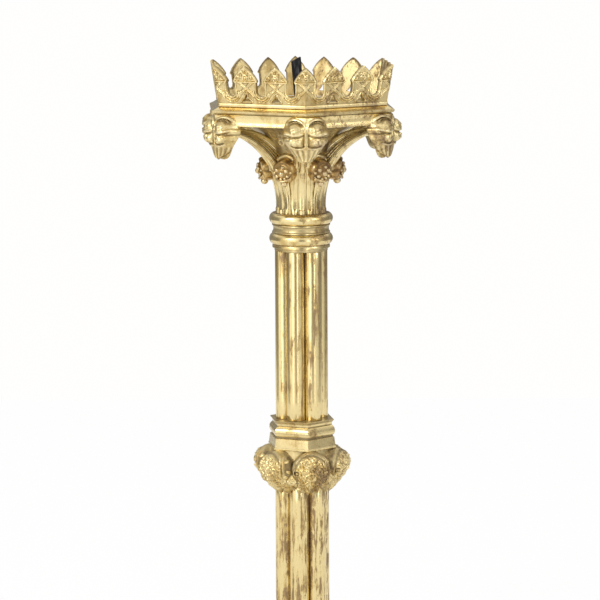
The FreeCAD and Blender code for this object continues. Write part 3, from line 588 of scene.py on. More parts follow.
class Form:
    """A carved form: points in millimetres, faces, and each point's painted shade."""

    def __init__(self) -> None:
        """Starts empty."""
        self.points: list[np.ndarray] = []
        self.hollow: list[np.ndarray] = []
        self.faces: list[tuple[int, ...]] = []
        self.count = 0

    def put(self, points: np.ndarray, hollow: np.ndarray | float = 0.0) -> int:
        """Adds points.

        Args:
            points: an array of n rows of three.
            hollow: the painted shade, one value for all, or n values.

        Returns:
            The number of the first of them.
        """
        first = self.count
        self.points.append(np.asarray(points, dtype=float).reshape(-1, 3))
        self.hollow.append(
            np.broadcast_to(np.asarray(hollow, dtype=float).reshape(-1), (len(self.points[-1]),))
        )
        self.count += len(self.points[-1])
        return first

    def tube(
        self, rows: np.ndarray, hollow: np.ndarray | float = 0.0, looped: bool = False
    ) -> "Form":
        """Adds a closed skin over rings of points.

        Args:
            rows: an array of rings, each of as many points, by three.
            hollow: the painted shade, one value, or a value for each point.
            looped: whether the last ring joins the first; otherwise both ends are capped.

        Returns:
            The form itself.
        """
        count, across = rows.shape[:2]
        if not np.isscalar(hollow):
            hollow = np.asarray(hollow).reshape(-1)
        first = self.put(rows.reshape(-1, 3), hollow)
        for row in range(count if looped else count - 1):
            this = first + row * across
            above = first + (row + 1) % count * across
            for index in range(across):
                after = (index + 1) % across
                self.faces.append((this + index, this + after, above + after, above + index))
        if not looped:
            for row, turn in ((0, -1), (count - 1, 1)):
                ring = rows[row]
                centre = self.put(ring.mean(axis=0).reshape(1, 3), 0.0)
                start = first + row * across
                for index in range(across):
                    pair = (start + index, start + (index + 1) % across)
                    self.faces.append((*pair[::turn], centre))
        return self

    def rod(self, path: np.ndarray, radii: np.ndarray, sides: int, hollow: float) -> "Form":
        """Adds a round rod along a path.

        Args:
            path: points along it.
            radii: its radius at each.
            sides: points in a ring.
            hollow: its painted shade.

        Returns:
            The form itself.
        """
        path = np.asarray(path, dtype=float)
        tangents = np.gradient(path, axis=0)
        tangents /= np.linalg.norm(tangents, axis=1, keepdims=True)
        side = np.cross(tangents[0], (0.0, 0.0, 1.0))
        if np.linalg.norm(side) < 0.1:
            side = np.cross(tangents[0], (1.0, 0.0, 0.0))
        angles = np.arange(sides) * math.tau / sides
        rows = []
        for point, tangent, radius in zip(path, tangents, radii):
            side = side - tangent * np.dot(side, tangent)
            side /= np.linalg.norm(side)
            other = np.cross(tangent, side)
            spread = np.outer(np.cos(angles), side) + np.outer(np.sin(angles), other)
            rows.append(point + radius * spread)
        return self.tube(np.array(rows), hollow)

    def drop(
        self,
        centre: Place,
        radii: Place,
        rings: int,
        across: int,
        hollow: float = 0.0,
        swell: Callable[[np.ndarray], tuple[np.ndarray, np.ndarray]] | None = None,
    ) -> "Form":
        """Adds a rounded lump.

        Args:
            centre: its middle.
            radii: its half sizes along X, Y and Z.
            rings: rings from its top to its foot.
            across: points in a ring.
            hollow: its painted shade.
            swell: a function of the unit direction that gives a share to add and a painted shade.

        Returns:
            The form itself.
        """
        polar = (np.arange(rings) + 0.5) * math.pi / rings
        turn = np.arange(across) * math.tau / across
        polar, turn = np.meshgrid(polar, turn, indexing="ij")
        unit = np.stack(
            [np.sin(polar) * np.sin(turn), -np.sin(polar) * np.cos(turn), np.cos(polar)], axis=-1
        )
        depth = np.full(polar.shape, hollow)
        scale = np.ones(polar.shape)
        if swell:
            extra, deeper = swell(unit)
            scale = scale + extra
            depth = depth + deeper
        return self.tube(unit * np.array(radii) * scale[..., None] + np.array(centre), depth)

    def turned(self, bearing: float) -> "Form":
        """Turns the whole form round the axis.

        Args:
            bearing: the bearing to turn by, in degrees.

        Returns:
            The form itself.
        """
        angle = math.radians(bearing)
        cosine, sine = math.cos(angle), math.sin(angle)
        spin = np.array([[cosine, sine, 0], [-sine, cosine, 0], [0, 0, 1]])
        self.points = [points @ spin for points in self.points]
        return self

    def mesh(self, name: str) -> bpy.types.Object:
        """Makes the object with its place in its mesh, smooth, with its faces outwards.

        Args:
            name: the object's name.

        Returns:
            The new object, in the scene.
        """
        mesh = bpy.data.meshes.new(name)
        mesh.from_pydata((np.concatenate(self.points) * MM).tolist(), [], self.faces)
        depth = mesh.attributes.new(PAINTED_SHADE_ATTRIBUTE, "FLOAT", "POINT")
        depth.data.foreach_set("value", np.concatenate(self.hollow).astype(np.float32))
        outward(mesh)
        mesh.shade_smooth()
        mesh.set_sharp_from_angle(angle=SHARP_EDGE)
        return in_scene(name, mesh)


def outward(mesh: bpy.types.Mesh) -> None:
    """Points every face of a closed mesh outwards.

    Args:
        mesh: the mesh to put right.
    """
    work = bmesh.new()
    work.from_mesh(mesh)
    bmesh.ops.recalc_face_normals(work, faces=work.faces)
    work.to_mesh(mesh)
    work.free()


def hexagon_rows(profile: list[Point], edge: float, spans: int = 1) -> np.ndarray:
    """Rings of a six-sided moulding with its corners a little rounded, a corner at the front.

    Args:
        profile: the apothem and height of each ring.
        edge: the corners' radius.
        spans: how many parts each flat is divided into.

    Returns:
        The rings' points.
    """
    rows = []
    for apothem, height in profile:
        corner = apothem / math.cos(HALF_SIDE)
        inner = (corner - edge / math.cos(HALF_SIDE)) if edge else corner
        ring = []
        for side in range(SIDES):
            bearing = side * 2 * HALF_SIDE
            centre = np.array((inner * math.sin(bearing), -inner * math.cos(bearing)))
            for share in (-1.0, -0.5, 0.0, 0.5, 1.0):
                turn = bearing + share * HALF_SIDE
                ring.append(centre + edge * np.array((math.sin(turn), -math.cos(turn))))
            following = bearing + 2 * HALF_SIDE
            start = ring[-1]
            turn = following - HALF_SIDE
            end_centre = np.array((inner * math.sin(following), -inner * math.cos(following)))
            end = end_centre + edge * np.array((math.sin(turn), -math.cos(turn)))
            for step in range(1, spans):
                ring.append(start + (end - start) * step / spans)
        rows.append([(x, y, height) for x, y in ring])
    return np.array(rows)


def round_rows(profile: list[Point], sides: int) -> np.ndarray:
    """Rings of a turned form.

    Args:
        profile: the radius and height of each ring.
        sides: points in a ring.

    Returns:
        The rings' points.
    """
    angles = np.arange(sides) * math.tau / sides
    return np.array(
        [round_axis(radius, angles, np.full(sides, height)) for radius, height in profile]
    )


# --- Geometry Nodes ----------------------------------------------------------------------------


class RoundRepeat:
    """A Geometry Nodes tree that sets copies of a casting round the axis at even angles."""

    COUNT = "Count"
    BEARING = "First bearing"
    FINISH = "Finish"

    def __init__(self) -> None:
        """Builds the tree with named inputs."""
        self.tree = bpy.data.node_groups.new("round_repeat", "GeometryNodeTree")
        face = self.tree.interface
        face.new_socket("Geometry", in_out="INPUT", socket_type="NodeSocketGeometry")
        kinds = {self.COUNT: "Int", self.BEARING: "Float", self.FINISH: "Material"}
        self.sockets: dict[str, str] = {}
        for name, kind in kinds.items():
            socket = face.new_socket(name, in_out="INPUT", socket_type=f"NodeSocket{kind}")
            self.sockets[name] = socket.identifier
        face.new_socket("Geometry", in_out="OUTPUT", socket_type="NodeSocketGeometry")
        nodes, links = self.tree.nodes, self.tree.links
        given = nodes.new("NodeGroupInput")
        points = nodes.new("GeometryNodePoints")
        links.new(given.outputs[self.COUNT], points.inputs["Count"])
        index = nodes.new("GeometryNodeInputIndex")
        pitch = self.arithmetic("DIVIDE", FULL_TURN, given.outputs[self.COUNT])
        turn = self.arithmetic("MULTIPLY", index.outputs[0], pitch)
        bearing = self.arithmetic("ADD", turn, given.outputs[self.BEARING])
        radians = self.arithmetic("RADIANS", bearing, 0.0)
        angles = nodes.new("ShaderNodeCombineXYZ")
        links.new(radians, angles.inputs["Z"])
        copies = nodes.new("GeometryNodeInstanceOnPoints")
        links.new(points.outputs[0], copies.inputs["Points"])
        links.new(given.outputs["Geometry"], copies.inputs["Instance"])
        links.new(angles.outputs[0], copies.inputs["Rotation"])
        real = nodes.new("GeometryNodeRealizeInstances")
        links.new(copies.outputs[0], real.inputs[0])
        finish = nodes.new("GeometryNodeSetMaterial")
        links.new(real.outputs[0], finish.inputs["Geometry"])
        links.new(given.outputs[self.FINISH], finish.inputs["Material"])
        done = nodes.new("NodeGroupOutput")
        links.new(finish.outputs[0], done.inputs[0])

    def arithmetic(self, operation: str, left: object, right: object) -> bpy.types.NodeSocket:
        """Adds one Math node to the tree.

        Args:
            operation: the Math node's operation.
            left: a socket or number.
            right: a socket or number.

        Returns:
            Its result.
        """
        node = self.tree.nodes.new("ShaderNodeMath")
        node.operation = operation
        for index, term in enumerate((left, right)):
            if isinstance(term, bpy.types.NodeSocket):
                self.tree.links.new(term, node.inputs[index])
            else:
                node.inputs[index].default_value = term
        return node.outputs[0]

    def around(
        self, casting: bpy.types.Object, bearing: float, material: bpy.types.Material
    ) -> bpy.types.Object:
        """Replaces a casting made at the front by copies of it round the axis.

        Args:
            casting: the object to repeat.
            bearing: the first copy's bearing in degrees.
            material: the copies' finish.

        Returns:
            A plain mesh object of the same name.
        """
        name = casting.name
        modifier = casting.modifiers.new("round_repeat", "NODES")
        modifier.node_group = self.tree
        modifier[self.sockets[self.COUNT]] = SIDES
        modifier[self.sockets[self.BEARING]] = bearing
        modifier[self.sockets[self.FINISH]] = material
        shown = casting.evaluated_get(bpy.context.evaluated_depsgraph_get())
        mesh = bpy.data.meshes.new_from_object(shown)
        casting.modifiers.remove(modifier)
        bpy.data.objects.remove(casting)
        mesh.name = name
        return in_scene(name, mesh)


class Workshop:
    """The finishes, the repeat tree and the calls that place a piece, for every sub-assembly."""

    def __init__(self) -> None:
        """Builds the finishes and the tree."""
        self.finishes = Finishes()
        self.repeat = RoundRepeat()

    def dress(
        self, piece: bpy.types.Object, body: Body, slot: Slot, *nodes: str
    ) -> bpy.types.Object:
        """Finishes a new piece and sets it on its body.

        Args:
            piece: the piece, in place.
            body: the body it rides on.
            slot: its finish.
            nodes: the nodes that it stands for.

        Returns:
            The piece.
        """
        piece.data.materials.clear()
        piece.data.materials.append(self.finishes.of(slot))
        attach(piece, body.value)
        if nodes:
            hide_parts(*nodes)
        log.info("%s: %d faces on %s", piece.name, len(piece.data.polygons), body.value)
        return piece

    def ringed(
        self, form: Form, name: str, bearing: float, body: Body, slot: Slot, *nodes: str
    ) -> bpy.types.Object:
        """Repeats a form round the axis and dresses it; the arguments are as for dress."""
        piece = self.repeat.around(form.mesh(name), bearing, self.finishes.of(slot))
        return self.dress(piece, body, slot, *nodes)

    def refinish(self, node: str, slot: Slot, edge: float = 0.0) -> None:
        """Gives a carried-over node its finish and, where asked, softened edges.

        Args:
            node: the node's name.
            slot: its finish.
            edge: the width of its softened edges in millimetres.
        """
        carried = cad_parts[node]
        if not carried.material_slots:
            carried.data.materials.append(None)
        for holder in carried.material_slots:
            holder.material = self.finishes.of(slot)
        if edge:
            weld = carried.modifiers.new("weld", "WELD")
            weld.merge_threshold = WELD_DISTANCE
            bevel = carried.modifiers.new("soft_edges", "BEVEL")
            bevel.width = edge * MM
            bevel.segments = 2
            bevel.limit_method = "ANGLE"
            bevel.angle_limit = BEVEL_ANGLE
        log.info("%s keeps its shape, finish %s", node, slot.value)


def six(stem: str) -> tuple[str, ...]:
    """The names of a set of six nodes."""
    return tuple(f"{stem}_{number}" for number in range(1, SIDES + 1))


# --- Ferrule and shafts ------------------------------------------------------------------------


@dataclass
class ClusteredShaft:
    """A column of six round lobes that meet in sharp valleys."""

    name: str
    body: Body
    foot: float
    length: float
    ring: float
    radius: float
    bore: float
    bearing: float
    steps: int = 26
    seam: float = 0.13
    valley_shade: float = 0.72
    stations: int = 10
    edge: float = 0.5
    end_band: float = 0.8
    end_shade: float = 0.7

    def build(self, shop: Workshop) -> None:
        """Builds one lobe at the front and repeats it round the axis.

        Args:
            shop: the finishes, and the calls that place a piece.
        """
        half_pitch = self.ring * math.sin(HALF_SIDE)
        valley = self.ring * math.cos(HALF_SIDE) + math.sqrt(self.radius**2 - half_pitch**2)
        reach = math.atan2(valley * math.sin(HALF_SIDE), valley * math.cos(HALF_SIDE) - self.ring)
        turns = np.linspace(-reach, reach, self.steps)
        share = np.abs(turns) / reach
        front = np.stack(
            [self.radius * np.sin(turns), -(self.ring + self.radius * np.cos(turns))], axis=-1
        )
        back_half = self.bore * math.tan(HALF_SIDE)
        back = np.array([[back_half, -self.bore], [-back_half, -self.bore]])
        ring = np.concatenate([front, back])
        # Painted shade: darker in the sharp valleys between the lobes.
        depth = np.concatenate(
            [self.valley_shade * smooth_rise(share, 1.0 - self.seam, 1.0), (0.0, 0.0)]
        )
        along = np.linspace(self.end_band, self.length - self.end_band, self.stations)
        heights = [0.0, self.edge / 2, *along, self.length - self.edge / 2, self.length]
        rows, depths = [], []
        for height in heights:
            from_end = min(height, self.length - height)
            rounded = ring.copy()
            rounded[: self.steps, 1] += self.edge - min(from_end, self.edge)
            rows.append([(x, y, self.foot + height) for x, y in rounded])
            # Painted shade at both ends, where the shaft goes into the next part.
            end = max(0.0, 1.0 - from_end / self.end_band)
            depths.append(np.maximum(depth, self.end_shade * end))
        form = Form().tube(np.array(rows), np.array(depths))
        shop.ringed(form, f"{self.name}_lobes", self.bearing, self.body, Slot.SHAFT, self.name)


# --- Knop --------------------------------------------------------------------------------------


@dataclass
class Knop:
    """The leafed knop: hexagonal mouldings over six big leaves with small buds between them."""

    neck_foot: float = 205.1
    neck_height: float = 21.9
    apothem: float = 27.3
    bearing: float = 10.0
    leaf_bearing: float = 15.0
    leaf_back: float = 21.0
    leaf_top: float = 202.0
    leaf_foot: float = 163.6
    leaf_heights: tuple[float, ...] = (
        163.6, 166.0, 168.6, 173.3, 178.0, 183.0, 188.0, 192.6, 195.0, 197.4, 199.4, 200.8, 202.0
    )
    leaf_reaches: tuple[float, ...] = (
        24.6, 27.4, 30.4, 34.2, 37.2, 40.6, 42.2, 41.6, 40.6, 38.8, 36.4, 34.0, 30.5
    )
    leaf_widths: tuple[float, ...] = (
        15.0, 17.0, 18.0, 19.0, 19.6, 20.0, 20.2, 19.0, 17.2, 14.6, 11.4, 8.2, 3.0
    )
    heart_aside: float = 2.0
    heart_centre: float = 185.6
    bud_centre: float = 177.2
    bud_reach: float = 36.6
    leaf_beads: tuple[Place, ...] = (
        (0.6, 178.0, 1.9), (13.4, 180.0, 1.9), (14.6, 194.0, 1.6), (16.4, 185.0, 1.5)
    )
    curl_aside: float = 14.0
    curl_centre: float = 184.6
    flat_radius: float = 36.0
    bud_aside: float = 18.85
    bud_half_width: float = 8.6
    bud_half_height: float = 8.2
    rib_span: Span = (177.0, 181.0, 197.0, 199.0)
    leaf_rows: int = 76
    leaf_across: int = 92
    back_across: int = 8

    def neck(self, shop: Workshop) -> None:
        """Builds the thin flared lip, the stepped ovolo and the splayed moulding.

        Args:
            shop: the finishes, and the calls that place a piece.
        """
        wide = self.apothem
        profile = [
            (wide - 1.3, -3.4),
            (wide - 0.2, -3.2),
            (wide, -2.8),
            (wide - 0.1, -1.6),
            (wide - 0.5, -1.2),
        ]
        profile += [(wide - 1.4, 6.2), (wide - 1.8, 6.6), (wide - 2.7, 6.9), (wide - 2.7, 8.3)]
        profile += arc_points((wide - 1.9, 8.5), (wide - 0.9, 12.7), (wide - 3.2, 16.9), 9)
        profile += [(wide - 3.5, 17.1)]
        profile += arc_points((wide - 3.4, 17.3), (wide - 3.0, 19.6), (wide - 1.7, 21.2), 5)
        profile += [
            (wide - 1.6, 21.6), (wide - 1.9, self.neck_height), (wide - 8.0, self.neck_height)
        ]
        # Painted shade: darker under the lip, in the steps below and above the ovolo, in thin lines
        # across it, and on the upper moulding and top.
        depths = np.zeros(len(profile))
        depths[3:5] = (0.1, 0.35)
        depths[7:9] = 0.9
        depths[9] = 0.5
        depths[12:18:2] = 0.4
        depths[19:21] = 0.9
        depths[23:] = 0.55
        depths[5:7] = 0.3
        rows = hexagon_rows(
            [(apothem, self.neck_foot + height) for apothem, height in profile], edge=0.35, spans=6
        )
        form = Form().tube(rows, by_ring(depths, rows)).turned(self.bearing)
        shop.dress(form.mesh("knop_mouldings"), Body.KNOP, Slot.CAST, "knop_neck")

    def carving(
        self, x: np.ndarray, z: np.ndarray, wide: np.ndarray
    ) -> tuple[np.ndarray, np.ndarray]:
        """The carving of a big leaf: a rolled hood, a crumpled heart, and curled ribs at its sides.

        Args:
            x: places across the leaf, from its middle.
            z: heights.
            wide: the leaf's half width at each height.

        Returns:
            How far each place stands out, and its painted shade.
        """
        heart = np.hypot((x + self.heart_aside) / 14.2, (z - self.heart_centre) / 14.6)
        within = 1.0 - smooth_rise(heart, 0.88, 0.97)
        hood = ridge(np.abs(x) / wide - 0.93, 0.07) * smooth_rise(z, 184.0, 189.0)
        trench = ridge(heart - 0.96, 0.06) * smooth_rise(z, 176.0, 184.0)
        warp = x + 1.2 * np.sin(z * 0.7), z + 1.0 * np.sin(x * 0.8 + 1.0)
        lumps = np.sin(warp[0] * 1.15) * np.sin(warp[1] * 1.05 + 0.5 * x)
        stipple = np.sin(x * 2.9 + 1.2 * np.sin(z * 1.9)) * np.sin(z * 2.7 + 1.1 * np.sin(x * 2.1))
        bow = 2.4 * ((z - 188.0) / 12.0) ** 2
        ribs = np.maximum(ridge(x - 10.4 + bow, 0.75), ridge(x - 12.6 + bow, 0.65))
        ribs = ribs * soft_span(z, self.rib_span)
        strip = smooth_rise(x, 13.2, 14.2) * smooth_rise(z, 170.0, 178.0)
        curl_at = np.hypot(np.abs(x) - self.curl_aside, z - self.curl_centre)
        curl = np.maximum(ridge(curl_at - 2.9, 0.95), ridge(curl_at, 1.4)) * (x < 0.0)
        eye = ridge(curl_at - 1.8, 0.55) * (x < 0.0)
        beads = [
            ridge(np.hypot(x - place, z - level), size) for place, level, size in self.leaf_beads
        ]
        beads = np.maximum.reduce(beads)
        low = 1.0 - smooth_rise(z, 174.0, 180.0)
        body = np.maximum(within, low) * (1.0 - strip) * (1.0 - beads)
        rim = smooth_rise(heart, 0.97, 1.06) * smooth_rise(z, 178.0, 186.0) * (1.0 - strip)
        relief = lumps + 0.55 * stipple
        pits, peaks = np.clip(-relief - 0.25, 0.0, 1.0), np.clip(relief - 0.35, 0.0, 1.0)
        # Third numbers are painted shade: the trench, pits, eye, strip and the heart's rim darker;
        # peaks, ribs, curl and beads lighter.
        return carved(
            (hood, 0.8, 0.3),
            (trench, -1.0, 0.8),
            (lumps * body, 0.95, 0.0),
            (stipple * body, 0.5, 0.0),
            (pits * body, 0.0, 0.6),
            (peaks * body, 0.0, -0.55),
            (ribs, 0.9, -0.5),
            (curl, 1.2, -0.3),
            (eye, -0.8, 0.8),
            (beads, 1.4, -0.9),
            (strip, -0.6, 0.0),
            (strip * (beads < 0.1), 0.0, 0.8),
            (rim, 0.0, 0.45),
        )

    def leaves(self, shop: Workshop) -> None:
        """Builds one sixth of the leafage: a big leaf, and half of the bud on each side of it.

        Args:
            shop: the finishes, and the calls that place a piece.
        """
        level = np.linspace(self.leaf_top, self.leaf_foot, self.leaf_rows)
        bearing = np.linspace(-HALF_SIDE, HALF_SIDE, self.leaf_across)
        z, turn = np.meshgrid(level, bearing, indexing="ij")
        reach = np.interp(z, self.leaf_heights, self.leaf_reaches)
        wide = np.interp(z, self.leaf_heights, self.leaf_widths)
        x = self.flat_radius * turn
        core = np.interp(z, (self.leaf_foot, 170.0, 186.0, 205.0), (23.5, 26.5, 29.0, 26.0))
        core = core + 1.4 * smooth_rise(np.abs(turn), 0.1, 0.0)
        share = np.clip(np.abs(x) / wide, 0.0, 1.0)
        leaf = core + (reach - core) * np.sqrt(1.0 - share**2.6)
        height, depth = self.carving(x, z, wide)
        on_leaf = smooth_rise(leaf - core, 0.4, 2.5)
        leaf = leaf + height * on_leaf
        aside = self.bud_aside - np.abs(x)
        from_bud = np.hypot(
            aside / self.bud_half_width, (z - self.bud_centre) / self.bud_half_height
        )
        pucker = np.sin(aside * 1.9 + 0.6) * np.sin(z * 1.5) + 0.6 * np.sin(aside * 3.3 - z * 2.2)
        dome = ridge(from_bud, 1.0)
        bud = core - 3.0 + (self.bud_reach + 3.0 - core) * dome + 0.45 * pucker
        radius = np.maximum(leaf, bud)
        is_bud = bud > leaf
        # Painted shade: the bud's dents darker, its puckers lighter, the crease between leaf and
        # bud and the core between leaves darker.
        bud_depth = 0.45 * np.clip(-pucker, 0, 1) - 0.35 * np.clip(pucker, 0, 1)
        depth = np.where(is_bud, bud_depth, depth * on_leaf)
        crease = ridge(leaf - bud, 0.9) * (np.maximum(leaf, bud) > core + 1.5)
        depth = np.maximum(depth, 0.9 * crease) + 0.4 * (1.0 - on_leaf) * ~is_bud
        ragged = 2.6 * np.abs(np.sin(turn * 9.0 + 0.5)) + 1.3 * np.sin(turn * 21.0)
        z = z + ragged * smooth_rise(z, 176.0, self.leaf_foot + 1.0)
        face = round_axis(radius, turn, z)
        behind = np.linspace(HALF_SIDE, -HALF_SIDE, self.back_across)
        back_z, behind = np.meshgrid(level, behind, indexing="ij")
        back = round_axis(self.leaf_back, behind, back_z)
        # The back gets painted shade.
        depths = np.concatenate([depth, np.full(back_z.shape, 0.5)], axis=1)
        form = Form().tube(np.concatenate([face, back], axis=1), depths)
        shop.ringed(form, "knop_leaves", self.leaf_bearing, Body.KNOP, Slot.LEAF, *six("knop_leaf"))

    def build(self, shop: Workshop) -> None:
        """Builds the knop's pieces.

        Args:
            shop: the finishes, and the calls that place a piece.
        """
        self.neck(shop)
        self.leaves(shop)
        shop.refinish("knop_core", Slot.CAST, edge=0.4)


# --- Collar and capital ------------------------------------------------------------------------


@dataclass
class Collar:
    """The round collar: a fillet, a torus, a narrow band and a second torus."""

    foot: float = 374.3
    height: float = 32.7
    fillet_radius: float = 25.4
    fillet_height: float = 4.4
    band_radius: float = 24.6
    roll_radius: float = 27.5
    roll_height: float = 9.6
    lower_roll: float = 10.4
    upper_roll: float = 27.9
    shaft_radius: float = 23.0
    around: int = 96

    def build(self, shop: Workshop) -> None:
        """Builds the collar as one turned casting.

        Args:
            shop: the finishes, and the calls that place a piece.
        """
        profile = [
            (self.shaft_radius, 0.0),
            (self.shaft_radius + 0.1, 2.2),
            (self.fillet_radius - 0.9, 2.4),
        ]
        profile += [(self.fillet_radius - 0.5, 2.8), (self.fillet_radius - 0.5, self.fillet_height)]
        # Painted shade: darker in the step at the foot, where the tori meet the band and in the
        # band's waist; the fillets' edges lighter.
        depths = [0.5, 0.2, 0.9, 0.0, 0.0]
        half = self.roll_height / 2
        for middle in (self.lower_roll, self.upper_roll):
            valley = self.band_radius - 0.2
            crest = (self.roll_radius, middle)
            roll = arc_points((valley, middle - half), crest, (valley, middle + half), 14)
            profile += roll
            depths += [0.95] + [0.0] * (len(roll) - 2) + [0.95]
            if middle == self.lower_roll:
                foot, top = middle + half, self.upper_roll - half
                fillet = self.band_radius + 0.5
                profile += [(fillet, foot + 0.3), (fillet, foot + 1.1)]
                waist = (self.band_radius - 0.7, (foot + top) / 2)
                profile += arc_points(
                    (self.band_radius, foot + 1.4), waist, (self.band_radius, top - 1.4), 5
                )
                profile += [(fillet, top - 1.1), (fillet, top - 0.3)]
                depths += [0.2, -0.2, 0.75, 0.45, 0.4, 0.4, 0.45, 0.75, -0.2, 0.2]
        profile[-1] = (self.band_radius - 0.4, self.height)
        rows = round_rows([(radius, self.foot + rise) for radius, rise in profile], self.around)
        form = Form().tube(rows, by_ring(depths, rows))
        shop.dress(form.mesh("collar"), Body.HEAD, Slot.CAST, "collar_ring")


@dataclass
class Capital:
    """The reeded capital: a bell, six arms that sweep to the corners, and the neck between."""

    foot: float = 407.0
    height: float = 78.5
    bearing: float = 3.0
    arc_ring: float = 64.2
    arc_height: float = 20.8
    arc_radius: float = 58.0
    reed_ring: float = 19.1
    reed_radius: float = 3.2
    reed_end_radius: float = 2.1
    reed_spacing: float = 20.0
    reed_straight: float = 6.6
    reed_arc: float = 68.4
    reed_end_spread: float = 4.0
    reach: float = 72.0
    back_inset: float = 4.0
    back_lag: float = 7.1
    roll_radius: float = 4.4
    roll_end_radius: float = 3.4
    roll_start: float = 23.2
    side_flutes: int = 4
    bell_rises: tuple[float, ...] = (0.0, 36.0, 46.0, 54.0, 60.0, 65.0, 70.0, 74.0, 77.0, 78.5)
    bell_rings: tuple[float, ...] = (15.8, 22.0, 25.5, 27.2, 29.4, 32.4, 37.6, 44.5, 53.0, 59.0)
    bell_relief: Span = (54.0, 58.0, 75.0, 77.5)
    bell_rows: int = 46
    bell_around: int = 216
    hood_half: float = 10.6
    hood_ring: float = 26.4
    hood_foot: float = 446.0
    hood_rise: float = 11.6
    reed_turn: float = math.radians(66)
    side_reed: float = 0.92
    flank_end: float = 2.9
    flank_short: float = 1.5
    stations: int = 40
    core_top: float = 447.0
    core_stand: float = 0.2
    reed_stand: float = 1.3
    neck_rows: int = 26
    neck_across: int = 33
    fillet_radius: float = 0.75

    def bell(self, shop: Workshop) -> None:
        """Builds the bell with its curled leaves, and the hoods behind the flowers.

        Args:
            shop: the finishes, and the calls that place a piece.
        """
        share = np.linspace(0.0, 1.0, self.bell_rows)
        rise = np.interp(share, (0.0, 0.2, 1.0), (0.0, 36.0, self.height))
        radius = np.interp(rise, self.bell_rises, self.bell_rings)
        bearing = np.arange(self.bell_around) * math.tau / self.bell_around
        rise, turn = np.meshgrid(rise, bearing, indexing="ij")
        radius = np.repeat(radius[:, None], self.bell_around, axis=1)
        gap = (np.degrees(turn) - self.bearing) % SIDE_ANGLE - SIDE_ANGLE / 2
        across = np.abs(gap) * math.pi / 180.0 * radius
        curl = np.hypot(across - 7.0, (rise - 69.5) * 1.1)
        inner = np.hypot(across - 3.2, (rise - 62.0) * 1.1)
        raised = np.maximum(ridge(curl - 4.3, 1.3), ridge(curl, 1.5))
        stalk = ridge(across, 0.9) * (rise > 64.0)
        raised = np.maximum(raised, np.maximum(ridge(inner - 2.4, 1.0), stalk))
        raised = raised * soft_span(rise, self.bell_relief)
        radius = radius + 0.6 * raised
        # Painted shade: the upper bell, in the recess under the arms and abacus, darker, less on
        # the raised curls.
        upper = smooth_rise(rise, 50.0, 56.0)
        depth = (0.62 - 0.4 * raised) * upper + 0.35 * (1.0 - upper)
        rows = round_axis(radius, turn, self.foot + rise)
        shop.dress(Form().tube(rows, depth).mesh("bell"), Body.HEAD, Slot.CAST, "capital_bell")
        arch = np.linspace(-1.75, 1.75, 26)
        out = self.hood_ring + 0.6 * np.cos(arch)
        rise = self.hood_foot + self.hood_rise * np.cos(arch)
        path = np.stack([self.hood_half * np.sin(arch), -out, rise], axis=-1)
        # The hoods get painted shade too.
        hood = Form().rod(path, 1.5 + 1.1 * np.cos(arch * 0.85), 14, hollow=0.4)
        shop.ringed(hood, "flower_hoods", self.bearing + SIDE_ANGLE / 2, Body.HEAD, Slot.CAST)

    def section(
        self, heart: np.ndarray, back: np.ndarray, radius: float, spread: float, fall: float
    ) -> tuple:
        """One closed section of an arm: three reeds, and flutes up its sides to the upper roll.

        Args:
            heart: the middle reed's centre.
            back: the top of the upper roll.
            radius: the reeds' radius.
            spread: how far the side reeds stand to each side.
            fall: how far they stand back.

        Returns:
            The points and the painted shade of each.
        """
        inward = (back - heart) / np.linalg.norm(back - heart)
        side = self.side_reed * radius
        start = fall + 0.35 * side
        depth = max(float(np.linalg.norm(back - heart)), start + 1.6 * radius)
        # Painted shade: darker where reeds meet, at the fillets' edges, in score lines and at flute
        # edges; lighter on reed, fillet and flute crests.
        plan, dark = [], []
        for turn in np.linspace(0.0, 1.0, 7):
            angle = turn * self.reed_turn
            plan.append((radius * math.sin(angle), -radius * math.cos(angle)))
            crest = 1 - smooth_rise(np.array(turn), 0.1, 0.6)
            dark.append(smooth_rise(np.array(turn), 0.72, 1.0) * 0.9 - 0.2 * crest)
        fillet = 0.16 * radius
        middle = spread / 2
        base = fall / 2 - 0.30 * radius
        for share in (-1.0, -0.45, 0.45, 1.0):
            dip = base - 0.36 * radius * (1 - share * share) - 0.1 * radius
            plan.append((middle + share * fillet, dip))
            dark.append(0.75 if abs(share) == 1.0 else -0.4)
        scored = min(max((self.reed_radius - radius) * 2.5, 0.0), 1.0)
        for turn in np.linspace(-1.0, 1.5, 26):
            angle = turn * self.reed_turn
            score = scored * max(0.0, math.cos(turn * 9.0 - 3.6)) * (turn > 0.15)
            lobe = side * (1.0 - 0.2 * score)
            plan.append((spread + lobe * math.sin(angle), fall - lobe * math.cos(angle)))
            inner = smooth_rise(np.array(-turn), 0.72, 1.0)
            outer = smooth_rise(np.array(turn), 1.2, 1.5)
            dark.append(inner * 0.9 + outer * 0.8 + 0.8 * score)
        reach = spread + side * math.sin(1.5 * self.reed_turn)
        room = (depth - self.flank_short - start) / self.side_flutes
        bulge = min(0.5 * room, 0.24 * reach)
        for flute in range(self.side_flutes):
            for turn in np.linspace(-1.0, 1.0, 7):
                along = (flute + 0.5 + 0.5 * turn) / self.side_flutes
                out = reach + (self.flank_end - reach) * along
                swell = bulge * math.sqrt(max(1.0 - turn * turn, 0.0))
                plan.append(
                    (out - 0.5 * bulge + swell, start + along * (depth - self.flank_short - start))
                )
                dark.append(1.0 if abs(turn) == 1.0 else 0.25 - 0.75 * (1 - abs(turn)))
        outline = [(u, v) for u, v in reversed(plan)] + [(-u, v) for u, v in plan[1:]]
        depths = list(reversed(dark)) + dark[1:]
        points = [heart + np.array((u, 0.0, 0.0)) + inward * v for u, v in outline]
        return np.array(points), np.array(depths, dtype=float)

